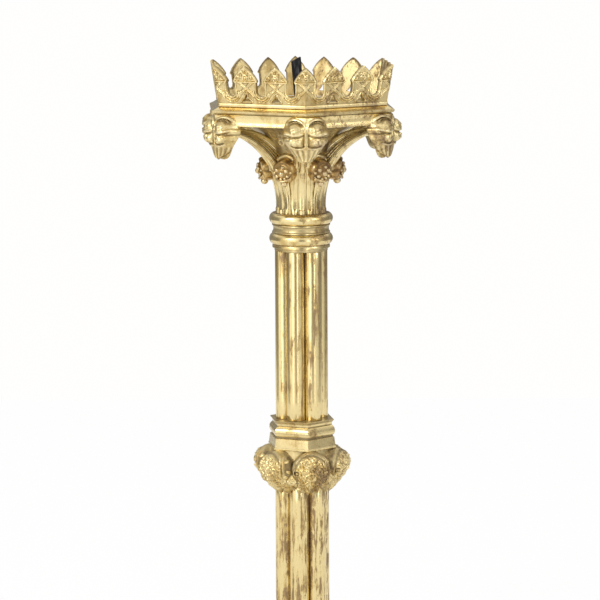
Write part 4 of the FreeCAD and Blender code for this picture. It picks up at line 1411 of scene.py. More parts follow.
    def arms(self, shop: Workshop) -> None:
        """Builds the front arm with its upper roll, and repeats it.

        Args:
            shop: the finishes, and the calls that place a piece.
        """
        fall = self.reed_ring * (1 - math.cos(math.radians(self.reed_spacing)))
        spread = self.reed_ring * math.sin(math.radians(self.reed_spacing))
        arc = self.reed_arc
        end_angle = math.acos((self.reed_ring + arc - self.reach) / arc)
        rows, depths, crown = [], [], []
        back_radius = self.arc_radius - self.back_inset
        heart = np.array((0.0, -self.reed_ring, self.foot))
        for rise in (0.0, 0.5 * self.reed_straight):
            lift = np.array((0.0, 0.0, rise))
            at = heart + lift
            points, dark = self.section(
                at, at + (0.0, self.back_lag, 0.0), self.reed_radius, spread, fall
            )
            rows.append(points)
            depths.append(dark)
        for share in np.linspace(0.0, 1.0, self.stations):
            angle = end_angle * share
            ring = self.reed_ring + arc * (1 - math.cos(angle))
            heart = np.array((0.0, -ring, self.foot + self.reed_straight + arc * math.sin(angle)))
            at_ring = ring - self.back_lag * (1 - share)
            rise = math.sqrt(max(back_radius**2 - (self.arc_ring - at_ring) ** 2, 0.0))
            back = np.array((0.0, -at_ring, self.foot + self.arc_height + rise))
            radius = self.reed_radius + (self.reed_end_radius - self.reed_radius) * share
            wide = spread + (self.reed_end_spread - spread) * share
            points, dark = self.section(heart, back, radius, wide, fall * (1 - share))
            rows.append(points)
            depths.append(dark)
            if at_ring > self.roll_start:
                crown.append(back + (0.0, -0.2, -self.roll_radius * 0.75))
        form = Form().tube(np.array(rows), np.array(depths))
        crown = np.array(crown)
        along = np.linspace(0.0, 1.0, len(crown))
        radii = self.roll_radius + (self.roll_end_radius - self.roll_radius) * along
        start = crown[0]
        nose = start - (crown[1] - start) / np.linalg.norm(crown[1] - start) * self.roll_radius
        shares = (1.0, 0.93, 0.75, 0.45)
        caps = [start + (nose - start) * share for share in shares]
        cap_radii = [self.roll_radius * math.sqrt(max(1 - share * share, 0.01)) for share in shares]
        # The upper roll is lightened all along: rubbed wear and painted highlight.
        form.rod(np.vstack([caps, crown]), np.concatenate([cap_radii, radii]), 18, hollow=-1.0)
        shop.ringed(form, "arms", self.bearing, Body.HEAD, Slot.CAST, *six("capital_arm"))

    def neck(self, shop: Workshop) -> None:
        """Builds the reeded neck, with a thin fillet up the middle of each gap between the arms.

        Args:
            shop: the finishes, and the calls that place a piece.
        """
        rises = np.linspace(0.0, self.core_top - self.foot, self.neck_rows)
        angles = np.arcsin(np.clip((rises - self.reed_straight) / self.reed_arc, 0.0, 1.0))
        rings = self.reed_ring + self.reed_arc * (1.0 - np.cos(angles))
        turns = np.linspace(-HALF_SIDE, HALF_SIDE, self.neck_across)
        reeds = np.abs(np.sin(turns * 9.0)) ** 0.6
        rows, depths = [], []
        for rise, ring in zip(rises, rings):
            radius = ring + self.core_stand + self.reed_stand * reeds
            front = round_axis(radius, turns, np.full(self.neck_across, self.foot + rise))
            back = [(side * 6.0, -12.0, self.foot + rise) for side in (1.0, -1.0)]
            rows.append(np.vstack([front, back]))
            # Painted shade between the reeds, lighter on the reeds.
            depths.append(np.append(0.8 * (1.0 - reeds) - 0.2 * reeds, (0.0, 0.0)))
        form = Form().tube(np.array(rows), np.array(depths))
        path = np.stack([0 * rises, -(rings + 1.5), self.foot + rises], -1)
        # The fillet is lightened.
        form.rod(path, np.full(self.neck_rows, self.fillet_radius), 10, hollow=-0.3)
        shop.ringed(form, "neck_reeds", self.bearing + SIDE_ANGLE / 2, Body.HEAD, Slot.CAST)

    def build(self, shop: Workshop) -> None:
        """Builds the capital's pieces.

        Args:
            shop: the finishes, and the calls that place a piece.
        """
        self.bell(shop)
        self.arms(shop)
        self.neck(shop)


@dataclass
class BallFlower:
    """A globe of folded petals open over a cluster of beads, with a curled lip and buds below."""

    ring: float = 28.5
    height: float = 445.4
    radius: float = 10.3
    half_height: float = 10.6
    bearing: float = 33.0
    beads: tuple[Place, ...] = (
        (0.3, -2.2, 2.5),
        (-4.3, 0.9, 1.9),
        (4.2, 0.3, 2.0),
        (-4.7, -4.4, 1.8),
        (4.9, -4.3, 1.6),
        (-1.2, -6.9, 1.6),
        (2.4, -6.3, 1.4),
        (1.3, 3.3, 1.6),
        (-7.5, -1.6, 1.4),
        (7.6, -1.2, 1.3),
    )

    def globe(self, unit: np.ndarray) -> tuple[np.ndarray, np.ndarray]:
        """The globe's relief: an opening low on its face, a rolled rim and folded petals over it.

        Args:
            unit: unit directions from its middle.

        Returns:
            The share to add to the radius, and each point's painted shade.
        """
        across, rise = unit[..., 0], unit[..., 2] + 0.16
        front = smooth_rise(-unit[..., 1], -0.05, 0.3)
        open_at = np.hypot(across, rise)
        turn = np.arctan2(across, rise)
        mouth = (1 - smooth_rise(open_at, 0.74, 0.88)) * front
        rim = ridge(open_at - 0.93, 0.12) * front
        fold = 0.5 + 0.5 * np.cos(turn * 6.0)
        cleft = (1.0 - smooth_rise(fold, 0.0, 0.22)) * smooth_rise(open_at, 0.84, 0.98)
        extra = -0.15 * mouth + 0.05 * rim * (0.6 + 0.5 * fold) - 0.06 * cleft + 0.02 * fold
        brim = ridge(open_at - 0.82, 0.06) * front
        # Painted shade: the mouth, the petals' clefts and the brim darker, the rim's folds lighter.
        depth = 0.35 * mouth + 0.7 * cleft + 0.6 * brim - 0.25 * rim * fold
        return extra, depth

    def build(self, shop: Workshop) -> None:
        """Builds the front flower and repeats it.

        Args:
            shop: the finishes, and the calls that place a piece.
        """
        form = Form()
        middle = (0.0, -self.ring, self.height)
        form.drop(middle, (self.radius, self.radius, self.half_height), 44, 64, swell=self.globe)
        # Beads, lip and buds are lightened: rubbed wear and painted highlight.
        for across, rise, size in self.beads:
            share = (across**2 + rise**2) / self.radius**2
            stand = self.radius * 0.86 * math.sqrt(max(1.0 - share, 0.1))
            place = (across, -self.ring - stand, self.height + rise)
            form.drop(place, (size, size * 0.9, size), 10, 14, hollow=-0.4)
        lip = np.linspace(-1.25, 1.25, 18)
        out, rise = -self.ring - 5.6 * np.cos(lip) - 1.4, self.height - 2.6 - 6.2 * np.cos(lip)
        path = np.stack([7.7 * np.sin(lip), out, rise], axis=-1)
        form.rod(path, 0.5 + 0.75 * np.cos(lip * 1.15), 10, hollow=-0.3)
        foot = self.height - self.half_height
        form.drop((0.0, -self.ring - 2.8, foot - 0.5), (3.0, 3.2, 2.9), 14, 20, hollow=-0.45)
        for across in (-5.0, 5.0):
            form.drop((across, -self.ring - 2.8, foot + 3.0), (2.7, 2.9, 2.4), 10, 16, hollow=-0.1)
        shop.ringed(form, "ball_flowers", self.bearing, Body.HEAD, Slot.FLOWER, *six("ball_flower"))


@dataclass
class Abacus:
    """The plain hexagonal slab with a hollowed face."""

    foot: float = 485.5
    height: float = 10.1
    apothem: float = 74.6
    hollow: float = 1.1
    lip: float = 0.2
    bearing: float = 3.0

    def build(self, shop: Workshop) -> None:
        """Builds the slab.

        Args:
            shop: the finishes, and the calls that place a piece.
        """
        middle = (self.apothem - self.hollow, self.height / 2)
        end = (self.apothem + self.lip, self.height - 0.4)
        profile = [(self.apothem - 30.0, 0.0), (self.apothem - 0.4, 0.0)]
        profile += arc_points((self.apothem, 0.35), middle, end, 10)
        profile += [(self.apothem - 0.2, self.height), (12.0, self.height)]
        rows = hexagon_rows(
            [(apothem, self.foot + rise) for apothem, rise in profile], edge=0.5, spans=10
        )
        # Painted shade: the underside darker, and the top under the pan.
        depths = np.zeros(len(profile))
        depths[:2] = (0.8, 0.5)
        depths[-2:] = (0.5, 0.3)
        form = Form().tube(rows, by_ring(depths, rows)).turned(self.bearing)
        shop.dress(form.mesh("abacus"), Body.HEAD, Slot.CAST, "capital_abacus")


@dataclass
class Crocket:
    """A leaf head on a corner: two curled lobes under arched rims, and one fluted tip below."""

    top: float = 494.5
    bearing: float = 3.0
    lobe: float = 9.4
    corner: float = 86.6
    falls: tuple[float, ...] = (
        0.0, 0.7, 2.0, 4.5, 8.0, 12.5, 17.0, 21.5, 25.0, 28.5, 32.0, 34.5, 36.4, 37.5
    )
    widths: tuple[float, ...] = (
        12.6, 13.6, 14.8, 16.0, 17.4, 19.4, 19.2, 17.2, 14.4, 12.0, 9.8, 8.2, 6.4, 3.6
    )
    outers: tuple[float, ...] = (
        86.9, 87.6, 88.0, 88.5, 89.0, 89.5, 89.0, 87.9, 87.1, 86.4, 85.8, 85.2, 84.3, 82.8
    )
    inners: tuple[float, ...] = (
        72.0, 72.0, 72.0, 72.0, 72.0, 72.2, 73.5, 75.4, 76.3, 76.5, 76.6, 76.9, 77.6, 78.9
    )
    knobs: tuple[Place, ...] = (
        (-9.2, 21.2, 2.5),
        (-5.4, 20.0, 2.1),
        (-12.6, 18.8, 2.1),
        (-8.4, 17.6, 1.5),
        (7.2, 20.6, 2.7),
        (11.0, 20.4, 1.8),
        (10.0, 17.8, 1.7),
        (5.0, 18.2, 1.4),
        (14.0, 19.0, 1.6),
    )
    eye_fall: float = 9.2
    rim_radius: float = 7.9
    crescent_radius: float = 5.9
    thread_radius: float = 6.0
    ball_radius: float = 5.0
    bulge: Spot = (9.0, 20.2, 7.4, 4.4)
    wings: tuple[Spot, Spot] = ((17.2, 13.0, 2.4, 2.6), (16.4, 18.6, 2.2, 3.0))
    lobe_span: Span = (1.6, 3.0, 16.5, 18.2)
    smile_span: Span = (0.9, 2.2, 11.5, 13.5)
    flute_span: Span = (25.8, 27.5, 35.6, 36.2)
    stalk_span: Span = (8.0, 12.0, 24.0, 27.0)
    groove_span: Span = (8.0, 12.0, 22.0, 25.0)
    rows: int = 96
    across: int = 92
    behind: int = 14

    def carving(
        self, x: np.ndarray, fall: np.ndarray, turn: np.ndarray
    ) -> tuple[np.ndarray, np.ndarray]:
        """The carving of the head's face.

        Args:
            x: places across the head, from its middle.
            fall: places below its top.
            turn: the direction round its plan, 0 at the front.

        Returns:
            How far each place stands out, and its painted shade.
        """
        side = np.abs(x)
        from_eye = np.hypot((side - self.lobe) / 1.06, fall - self.eye_fall)
        upper = 1.0 - smooth_rise(fall, 7.5, 11.5)
        rim = ridge(from_eye - self.rim_radius, 1.15) * upper
        crescent = ridge(from_eye - self.crescent_radius, 1.3) * smooth_rise(fall, 8.5, 5.0)
        thread = ridge(from_eye - self.thread_radius, 0.4) * smooth_rise(fall, 6.5, 4.6)
        ball = ridge(from_eye, self.ball_radius) * smooth_rise(fall, 13.6, 12.6)
        lip_at = 13.9 - 1.9 * ((side - self.lobe) / 8.0) ** 2
        on_lobe = soft_span(side, self.lobe_span)
        lip = ridge(fall - lip_at, 1.25) * on_lobe
        under_lip = ridge(fall - lip_at - 1.9, 0.8) * on_lobe
        bulge = mound(side, fall, self.bulge)
        knobs = [
            ridge(np.hypot(x - place, (fall - level) * 0.9), size)
            for place, level, size in self.knobs
        ]
        folds = 1.4 * np.maximum.reduce(knobs) - 0.45
        folds = folds + 0.35 * np.sin(x * 2.1 + 1.4 * fall) * np.sin(fall * 2.3 - 0.8 * x) * bulge
        folds = folds * np.clip(1.6 * bulge, 0.0, 1.0)
        dents = np.sin(x * 1.3 + 0.9 * fall) * np.sin(fall * 1.2 - 0.4 * x + 1.0)
        dents = dents * smooth_rise(fall, 5.0, 9.0)
        smile_at = 25.6 - 1.5 * ((side - 6.4) / 6.4) ** 2
        on_smile = soft_span(side, self.smile_span)
        smile = ridge(fall - smile_at, 0.75) * on_smile
        over_smile = ridge(fall - smile_at + 1.5, 0.8) * on_smile
        wing = sum(mound(side, fall, spot) for spot in self.wings)
        between_wings = ridge(fall - 16.0, 0.8) * smooth_rise(side, 13.0, 15.0)
        flutes = 0.5 + 0.5 * np.cos(turn * 15.0)
        low = soft_span(fall, self.flute_span)
        stalk = ridge(side, 1.5) * soft_span(fall, self.stalk_span)
        groove = ridge(side - 2.3, 0.7) * soft_span(fall, self.groove_span)
        edge = ridge(fall - 35.9, 0.5)
        under_edge = smooth_rise(fall, 36.4, 37.0)
        pits, peaks = np.clip(-folds, 0.0, 1.0), np.clip(folds - 0.3, 0.0, 1.0)
        # Third numbers are painted shade: the crescents, balls, under the lip, over the smile,
        # between the wings, the grooves, the flute band and under its edge darker; rims, threads,
        # lips, peaks, smiles and flute crests lighter.
        return carved(
            (rim, 0.9, -0.3),
            (crescent, -2.3, 1.1),
            (thread, 1.3, -1.0),
            (ball, 1.2, 0.3),
            (dents * ball, 0.45, -0.25),
            (lip, 1.2, -0.5),
            (under_lip, -1.0, 0.75),
            (bulge, 1.6, 0.0),
            (folds, 0.8, 0.0),
            (pits, 0.0, 0.5),
            (peaks * bulge, 0.0, -0.7),
            (smile, 0.8, -0.5),
            (over_smile, -0.8, 0.75),
            (wing, 1.3, 0.0),
            (between_wings, -0.8, 0.7),
            (flutes * low, 0.7, -1.0),
            (low, -0.35, 0.65),
            (stalk, 0.9, 0.0),
            (groove, -0.9, 0.7),
            (edge, 0.35, 0.0),
            (under_edge, 0.0, 0.6),
        )

    def build(self, shop: Workshop) -> None:
        """Builds the front corner's head and repeats it.

        Args:
            shop: the finishes, and the calls that place a piece.
        """
        fall = np.interp(
            np.linspace(0.0, 1.0, self.rows), (0.0, 0.05, 0.97, 1.0), (0.0, 1.0, 37.0, 37.5)
        )
        turn = np.linspace(-math.pi / 2, math.pi / 2, self.across)
        fall, turn = np.meshgrid(fall, turn, indexing="ij")
        wide = np.interp(fall, self.falls, self.widths)
        outer = np.interp(fall, self.falls, self.outers)
        inner = np.interp(fall, self.falls, self.inners)
        middle = self.lobe * (1.0 - smooth_rise(fall, 20.0, 28.0))
        x = wide * np.sin(turn)
        side = np.abs(x)
        cheek = np.clip((side - middle) / (wide - middle), 0.0, 1.0)
        swell = np.sqrt(1.0 - cheek**2)
        valley = np.clip(1.0 - side / np.maximum(middle, 0.1), 0.0, 1.0) ** 1.6
        valley = 0.14 * (1.0 - smooth_rise(fall, 20.0, 27.0)) * valley
        out = inner + (outer - inner) * (swell - valley)
        slab = np.maximum(self.corner - side * math.tan(HALF_SIDE), inner)
        out = slab + (out - slab) * (0.12 + 0.88 * smooth_rise(fall, 0.0, 9.0))
        height, depth = self.carving(x, fall, turn)
        x = x + height * np.sin(turn) * 0.7
        out = out + height * np.cos(turn * 0.8)
        lifted = 3.4 * np.sin(turn) ** 2 * smooth_rise(fall, 29.0, 37.0)
        face = np.stack([x, -out, self.top - fall + lifted], axis=-1)
        share = np.linspace(1.0, -1.0, self.behind)
        back_x = wide[:, :1] * share * 0.97
        back_y = np.repeat(-(inner[:, :1] - 0.4), self.behind, axis=1)
        back_z = np.repeat(self.top - fall[:, :1], self.behind, axis=1)
        rows = np.concatenate([face, np.stack([back_x, back_y, back_z], axis=-1)], axis=1)
        # The back against the abacus gets painted shade.
        depths = np.concatenate([depth, np.full(back_x.shape, 0.35)], axis=1)
        form = Form().tube(rows, depths)
        shop.ringed(
            form, "corner_heads", self.bearing, Body.HEAD, Slot.LEAF, *six("corner_crocket")
        )


# --- Drip pan and cresting ---------------------------------------------------------------------


@dataclass
class DripPan:
    """The hexagonal pan: a nosed rim, a sunk floor and a collar round the pricket's hole."""

    foot: float = 495.9
    apothem: float = 77.1
    height: float = 5.7
    nose: float = 2.6
    chamfer: float = 1.2
    rim: float = 71.4
    inner: float = 67.6
    floor: float = 2.5
    hole: float = 11.0
    boss_wall: float = 2.6
    boss_height: float = 7.0
    bearing: float = 3.0

    def build(self, shop: Workshop) -> None:
        """Builds the pan as one ring-shaped casting.

        Args:
            shop: the finishes, and the calls that place a piece.
        """
        outer = self.hole + self.boss_wall
        profile = [
            (self.hole, 0.0),
            (self.apothem - self.chamfer, 0.0),
            (self.apothem - 0.25, self.chamfer - 0.3),
            (self.apothem, self.chamfer),
            (self.apothem, self.nose - 0.3),
            (self.apothem - 0.3, self.nose),
            (self.apothem - 3.0, self.nose + 1.1),
            (self.rim, self.height - 0.2),
            (self.inner + 0.4, self.height),
            (self.inner, self.height - 0.4),
            (self.inner, self.floor),
            (outer, self.floor),
            (outer, self.boss_height - 0.3),
            (outer - 0.3, self.boss_height),
            (self.hole, self.boss_height),
        ]
        # Painted shade: the underside, the nose and the sunk floor darker.
        depths = np.zeros(len(profile))
        depths[10:12] = 0.8
        depths[1] = 0.6
        depths[2:6] = 0.32
        rows = hexagon_rows(
            [(apothem, self.foot + rise) for apothem, rise in profile], edge=0.6, spans=10
        )
        form = Form().tube(rows, by_ring(depths, rows), looped=True).turned(self.bearing)
        shop.dress(form.mesh("pan"), Body.PAN, Slot.CAST, "drip_pan")


@dataclass
class Cresting:
    """The pierced leaf cresting: a relief strip on each side of the pan, mitred at the corners."""

    foot: float = 501.6
    foot_apothem: float = 71.0
    lean: float = 8.6
    thickness: float = 2.6
    rise: float = 34.4
    teeth: int = 3
    half_width: float = 10.9
    shoulder: float = 22.3
    barb: float = 1.7
    bulge: float = 0.9
    bulge_rise: float = 0.7
    scallop: float = 3.9
    scallop_bottom: float = 9.3
    piercing_half: float = 4.3
    piercing_foot: float = 5.0
    piercing_height: float = 6.2
    piercing_waist: float = 2.6
    piercing_neck: float = 1.6
    bearing: float = 3.0
    mesh_step: float = 0.6
    end_zone: float = 0.02
    rim_rise: float = -0.25
    bud_rise: float = 25.2

    def __post_init__(self) -> None:
        """Works out the pitch and the slant height."""
        self.pitch = self.foot_apothem / math.cos(HALF_SIDE) / self.teeth
        self.slant = self.rise / math.cos(math.radians(self.lean))

    def outline(self) -> list[Point]:
        """The edge of one side, in the flat, from the foot's right end round to its left.

        Returns:
            Its points, closely set.
        """
        barb_foot = self.shoulder - self.barb
        centre_v = self.scallop_bottom + self.scallop
        side = self.pitch / 2 - self.scallop
        edge = self.teeth * self.pitch / 2
        centres = [(tooth - self.teeth / 2) * self.pitch for tooth in range(self.teeth + 1)]
        corners: list[Point] = [(edge, 0.0), (edge, self.slant)]

        def flank(centre: float, direction: int) -> list[Point]:
            """One bowed edge of a tooth, from its shoulder to its tip.

            Args:
                centre: the tooth's middle.
                direction: 1 for its right edge, -1 for its left.

            Returns:
                Its points.
            """
            start = (centre + direction * self.half_width, self.shoulder)
            middle = (
                centre + direction * (self.half_width / 2 + self.bulge),
                (self.slant + self.shoulder) / 2 + self.bulge_rise,
            )
            return arc_points(start, middle, (centre, self.slant), 16)

        for centre in reversed(centres):
            if centre != centres[-1]:
                corners += [(centre + side, barb_foot)] + flank(centre, 1)[:-1]
            corners.append((centre, self.slant))
            if centre != centres[0]:
                corners += flank(centre, -1)[::-1][1:]
                corners += [(centre - side, barb_foot)]
                gap = centre - self.pitch / 2
                bottom = (gap, self.scallop_bottom)
                corners += arc_points(
                    (centre - side, centre_v), bottom, (gap - self.scallop, centre_v), 18
                )
        corners += [(-edge, self.slant), (-edge, 0.0)]
        return self.divided(corners)

    def divided(self, corners: list[Point]) -> list[Point]:
        """Divides an outline's long runs.

        Args:
            corners: its corners in order.

        Returns:
            Points no more than a mesh step or so apart, without repeats.
        """
        points: list[Point] = []
        for start, end in zip(corners, corners[1:] + corners[:1]):
            length = math.dist(start, end)
            if length < 1e-6:
                continue
            parts = max(1, round(length / (1.3 * self.mesh_step)))
            for part in range(parts):
                share = part / parts
                points.append(
                    (start[0] + (end[0] - start[0]) * share, start[1] + (end[1] - start[1]) * share)
                )
        return points

    def piercing(self, centre: float) -> list[Point]:
        """The triangular hole under one tooth.

        Args:
            centre: the tooth's middle.

        Returns:
            The hole's edge.
        """
        foot, apex = self.piercing_foot, self.piercing_foot + self.piercing_height
        waist = foot + self.piercing_waist
        right = arc_points(
            (centre + self.piercing_half, foot),
            (centre + self.piercing_neck, waist),
            (centre, apex),
            8,
        )
        left = arc_points(
            (centre, apex),
            (centre - self.piercing_neck, waist),
            (centre - self.piercing_half, foot),
            8,
        )
        return self.divided(right[:-1] + left)

    def relief(
        self, u: np.ndarray, v: np.ndarray, edge: np.ndarray, hole: np.ndarray
    ) -> tuple[np.ndarray, np.ndarray]:
        """The carving of a side's outer face.

        Args:
            u: places along the side, from its middle.
            v: places up it.
            edge: distances to the cresting's edge.
            hole: distances to the nearest piercing.

        Returns:
            How far each place stands out, and its painted shade.
        """
        tooth = np.round(u / self.pitch - self.teeth / 2) + self.teeth / 2
        x = np.abs(u - tooth * self.pitch)
        in_head = smooth_rise(v, self.shoulder - 0.2, self.shoulder + 0.6)
        below = 1.0 - in_head
        border = ridge(edge - 0.9, 0.75)
        rim = ridge(hole - 0.9, 0.7)
        bud = ridge(np.hypot(x, (v - self.bud_rise) * 0.9) - 2.1, 0.6)
        heart = ridge(np.hypot(x, v - self.bud_rise), 1.1)
        curl = ridge(np.hypot(x - 7.0, v - 24.9) - 1.7, 0.6)
        leaf_axis = x - 0.35 * (self.slant - v) * (self.slant - v > 0)
        vein = ridge(leaf_axis, 0.6) * smooth_rise(v, 26.5, 27.5)
        middle = ridge(x, 0.55) * smooth_rise(v, 27.2, 28.4)
        leaf = ridge(np.hypot(x - 3.1, (v - 26.6) * 0.55) - 2.0, 0.55) * smooth_rise(v, 24.0, 25.0)
        head = in_head * np.maximum.reduce([bud, heart, curl, vein * 0.9, middle, leaf * 0.9])
        bar = ridge(v - 21.6, 0.8)
        slope = 0.86
        band = (x * slope - np.abs(v - 16.4)) / math.hypot(slope, 1.0)
        in_bars = (v > 9.0) * (v < 21.4)
        cross = ridge(band, 1.5) * in_bars
        groove = ridge(band, 0.35) * in_bars
        gap = np.hypot(self.pitch / 2 - x, v - self.scallop_bottom - self.scallop)
        low = v < self.scallop_bottom + self.scallop + 1.0
        wave = (
            np.maximum(ridge(gap - self.scallop - 2.7, 0.75), ridge(gap - self.scallop - 4.7, 0.6))
            * low
        )
        foot = ridge(np.clip(v - 1.4, 0, None), 1.9)
        line = ridge(v - 3.9, 0.5)
        lower = below * np.maximum.reduce([bar, cross * 0.95, wave * 0.9, rim, foot])
        raised = np.maximum.reduce([border * (v > 8.0), head, lower])
        raised = np.clip(raised - 0.5 * line - 0.35 * groove * below, 0.0, 1.0)
        grain = 0.06 * np.sin(u * 5.3 + 2.0 * np.sin(v * 3.1)) * np.sin(v * 6.1)
        height = -0.85 + 1.1 * raised + grain * (1 - raised)
        # Painted shadow: thin dark lines along the slopes of the relief; its tops lightened, rubbed
        # wear and painted highlight.
        edge_shadows = np.exp(-(((raised - 0.3) / 0.24) ** 2))
        rubbed = np.clip(raised - 0.75, 0.0, 1.0)
        return height, np.clip(0.08 + 0.95 * edge_shadows - 1.4 * rubbed, -0.4, 1.0)

    @staticmethod
    def distance(points: np.ndarray, loop: list[Point]) -> np.ndarray:
        """The distance of each point to a closed outline.

        Args:
            points: the points, one to a row.
            loop: the outline's points in order.

        Returns:
            A distance for each point.
        """
        starts = np.array(loop)
        runs = np.roll(starts, -1, axis=0) - starts
        lengths = np.maximum((runs**2).sum(axis=1), 1e-9)
        nearest = np.full(len(points), np.inf)
        for start, run, length in zip(starts, runs, lengths):
            share = np.clip(((points - start) @ run) / length, 0.0, 1.0)
            nearest = np.minimum(nearest, np.hypot(*(points - start - share[:, None] * run).T))
        return nearest

    @staticmethod
    def inside(points: np.ndarray, loop: list[Point]) -> np.ndarray:
        """Whether each point lies inside a closed outline.

        Args:
            points: the points, one to a row.
            loop: the outline's points in order.

        Returns:
            A truth value for each point.
        """
        starts = np.array(loop)
        ends = np.roll(starts, -1, axis=0)
        within = np.zeros(len(points), dtype=bool)
        x, y = points[:, 0], points[:, 1]
        for (ax, ay), (bx, by) in zip(starts, ends):
            if ay == by:
                continue
            crosses = (ay > y) != (by > y)
            within ^= crosses & (x < (bx - ax) * (y - ay) / (by - ay) + ax)
        return within

    def patch(self, loops: list[list[Point]], extra: np.ndarray) -> tuple[np.ndarray, list]:
        """Divides the area between the outline and the piercings into triangles.

        Args:
            loops: the outline, then the piercings.
            extra: points inside the area.

        Returns:
            All points, those of the loops first, and the triangles.
        """
        points = [Vector(point) for loop in loops for point in loop]
        edges, first = [], 0
        for loop in loops:
            edges += [
                (first + index, first + (index + 1) % len(loop)) for index in range(len(loop))
            ]
            first += len(loop)
        points += [Vector(point) for point in extra]
        flat, _, triangles, _, _, _ = delaunay_2d_cdt(points, edges, [], 0, 1e-6)
        spots = np.array([tuple(point) for point in flat])
        middles = np.array([spots[list(triangle)].mean(axis=0) for triangle in triangles])
        kept = self.inside(middles, loops[0])
        for loop in loops[1:]:
            kept &= ~self.inside(middles, loop)
        return spots, [tuple(triangle) for triangle, keep in zip(triangles, kept) if keep]

    def placed(self, spots: np.ndarray, height: np.ndarray, drawn_in: float) -> np.ndarray:
        """Puts points of the flat on the leaning side at the front.

        Args:
            spots: their places along and up the side.
            height: how far each stands out.
            drawn_in: how far in from the outer face they lie.

        Returns:
            The points.
        """
        lean = math.radians(self.lean)
        u = spots[:, 0] * (1 + spots[:, 1] * math.sin(lean) / self.foot_apothem)
        u = u * (1 - drawn_in * math.cos(lean) / self.foot_apothem)
        out = (
            self.foot_apothem + spots[:, 1] * math.sin(lean) + (height - drawn_in) * math.cos(lean)
        )
        rise = spots[:, 1] * math.cos(lean) - (height - drawn_in) * math.sin(lean)
        return np.stack([u, -out, self.foot + np.maximum(rise, 0.0)], axis=-1)

    def build(self, shop: Workshop) -> None:
        """Builds one side and repeats it.

        Args:
            shop: the finishes, and the calls that place a piece.
        """
        outline = self.outline()
        centres = [(tooth - self.teeth / 2) * self.pitch for tooth in range(1, self.teeth)]
        loops = [outline] + [self.piercing(centre) for centre in centres]
        step = self.mesh_step
        edge_u = self.teeth * self.pitch / 2
        across = np.arange(-edge_u + 0.3, edge_u - 0.2, step)
        up = np.arange(0.35, self.slant, step * 0.9)
        grid = np.stack(np.meshgrid(across, up), axis=-1).reshape(-1, 2)
        grid[:, 0] += np.where((np.round(grid[:, 1] / (step * 0.9)) % 2) == 0, 0.0, step / 2)
        grid = grid[self.inside(grid, outline)]
        gaps = np.minimum.reduce([self.distance(grid, loop) for loop in loops])
        grid = grid[gaps > 0.33]
        for loop in loops[1:]:
            grid = grid[~self.inside(grid, loop)]
        spots, triangles = self.patch(loops, grid)
        ends = np.abs(np.abs(spots[:, 0]) - edge_u) < self.end_zone
        free = [point for point in outline if abs(abs(point[0]) - edge_u) > self.end_zone]
        inner_edge = [point for point in free if point[1] > self.end_zone]
        edge = np.minimum.reduce(
            [np.hypot(spots[:, 0] - a, spots[:, 1] - b) for a, b in inner_edge]
        )
        hole = np.minimum.reduce([self.distance(spots, loop) for loop in loops[1:]])
        height, depth = self.relief(spots[:, 0], spots[:, 1], edge, hole)
        rim_count = sum(len(loop) for loop in loops)
        height[:rim_count] = np.minimum(height[:rim_count], self.rim_rise)
        height[ends] = np.minimum(height[ends], self.rim_rise)
        form = Form()
        front = form.put(self.placed(spots, height, 0.0), depth)
        form.faces += [tuple(front + index for index in triangle) for triangle in triangles]
        rim_spots, back_triangles = self.patch(loops, grid[::5])
        nearest = np.minimum.reduce(
            [np.hypot(rim_spots[:, 0] - a, rim_spots[:, 1] - b) for a, b in inner_edge]
        )
        # Painted shade on the back face, darker near the inner edge.
        back_shade = 0.3 + 0.65 * (1.0 - smooth_rise(nearest, 0.5, 1.8))
        back = form.put(self.placed(rim_spots, np.zeros(len(rim_spots)), self.thickness), back_shade)
        form.faces += [
            tuple(back + index for index in reversed(triangle)) for triangle in back_triangles
        ]
        first = 0
        for loop in loops:
            for index in range(len(loop)):
                this, after = first + index, first + (index + 1) % len(loop)
                form.faces.append((front + this, front + after, back + after, back + this))
            first += len(loop)
        shop.ringed(
            form,
            "cresting",
            self.bearing + SIDE_ANGLE / 2,
            Body.PAN,
            Slot.CRESTING,
            *six("cresting_side"),
        )


# --- Studio ------------------------------------------------------------------------------------


@dataclass(frozen=True)
class SoftBox:
    """One soft lamp: where it hangs in metres, its side and its watts."""

    name: str
    place: Place
    size: float
    power: float


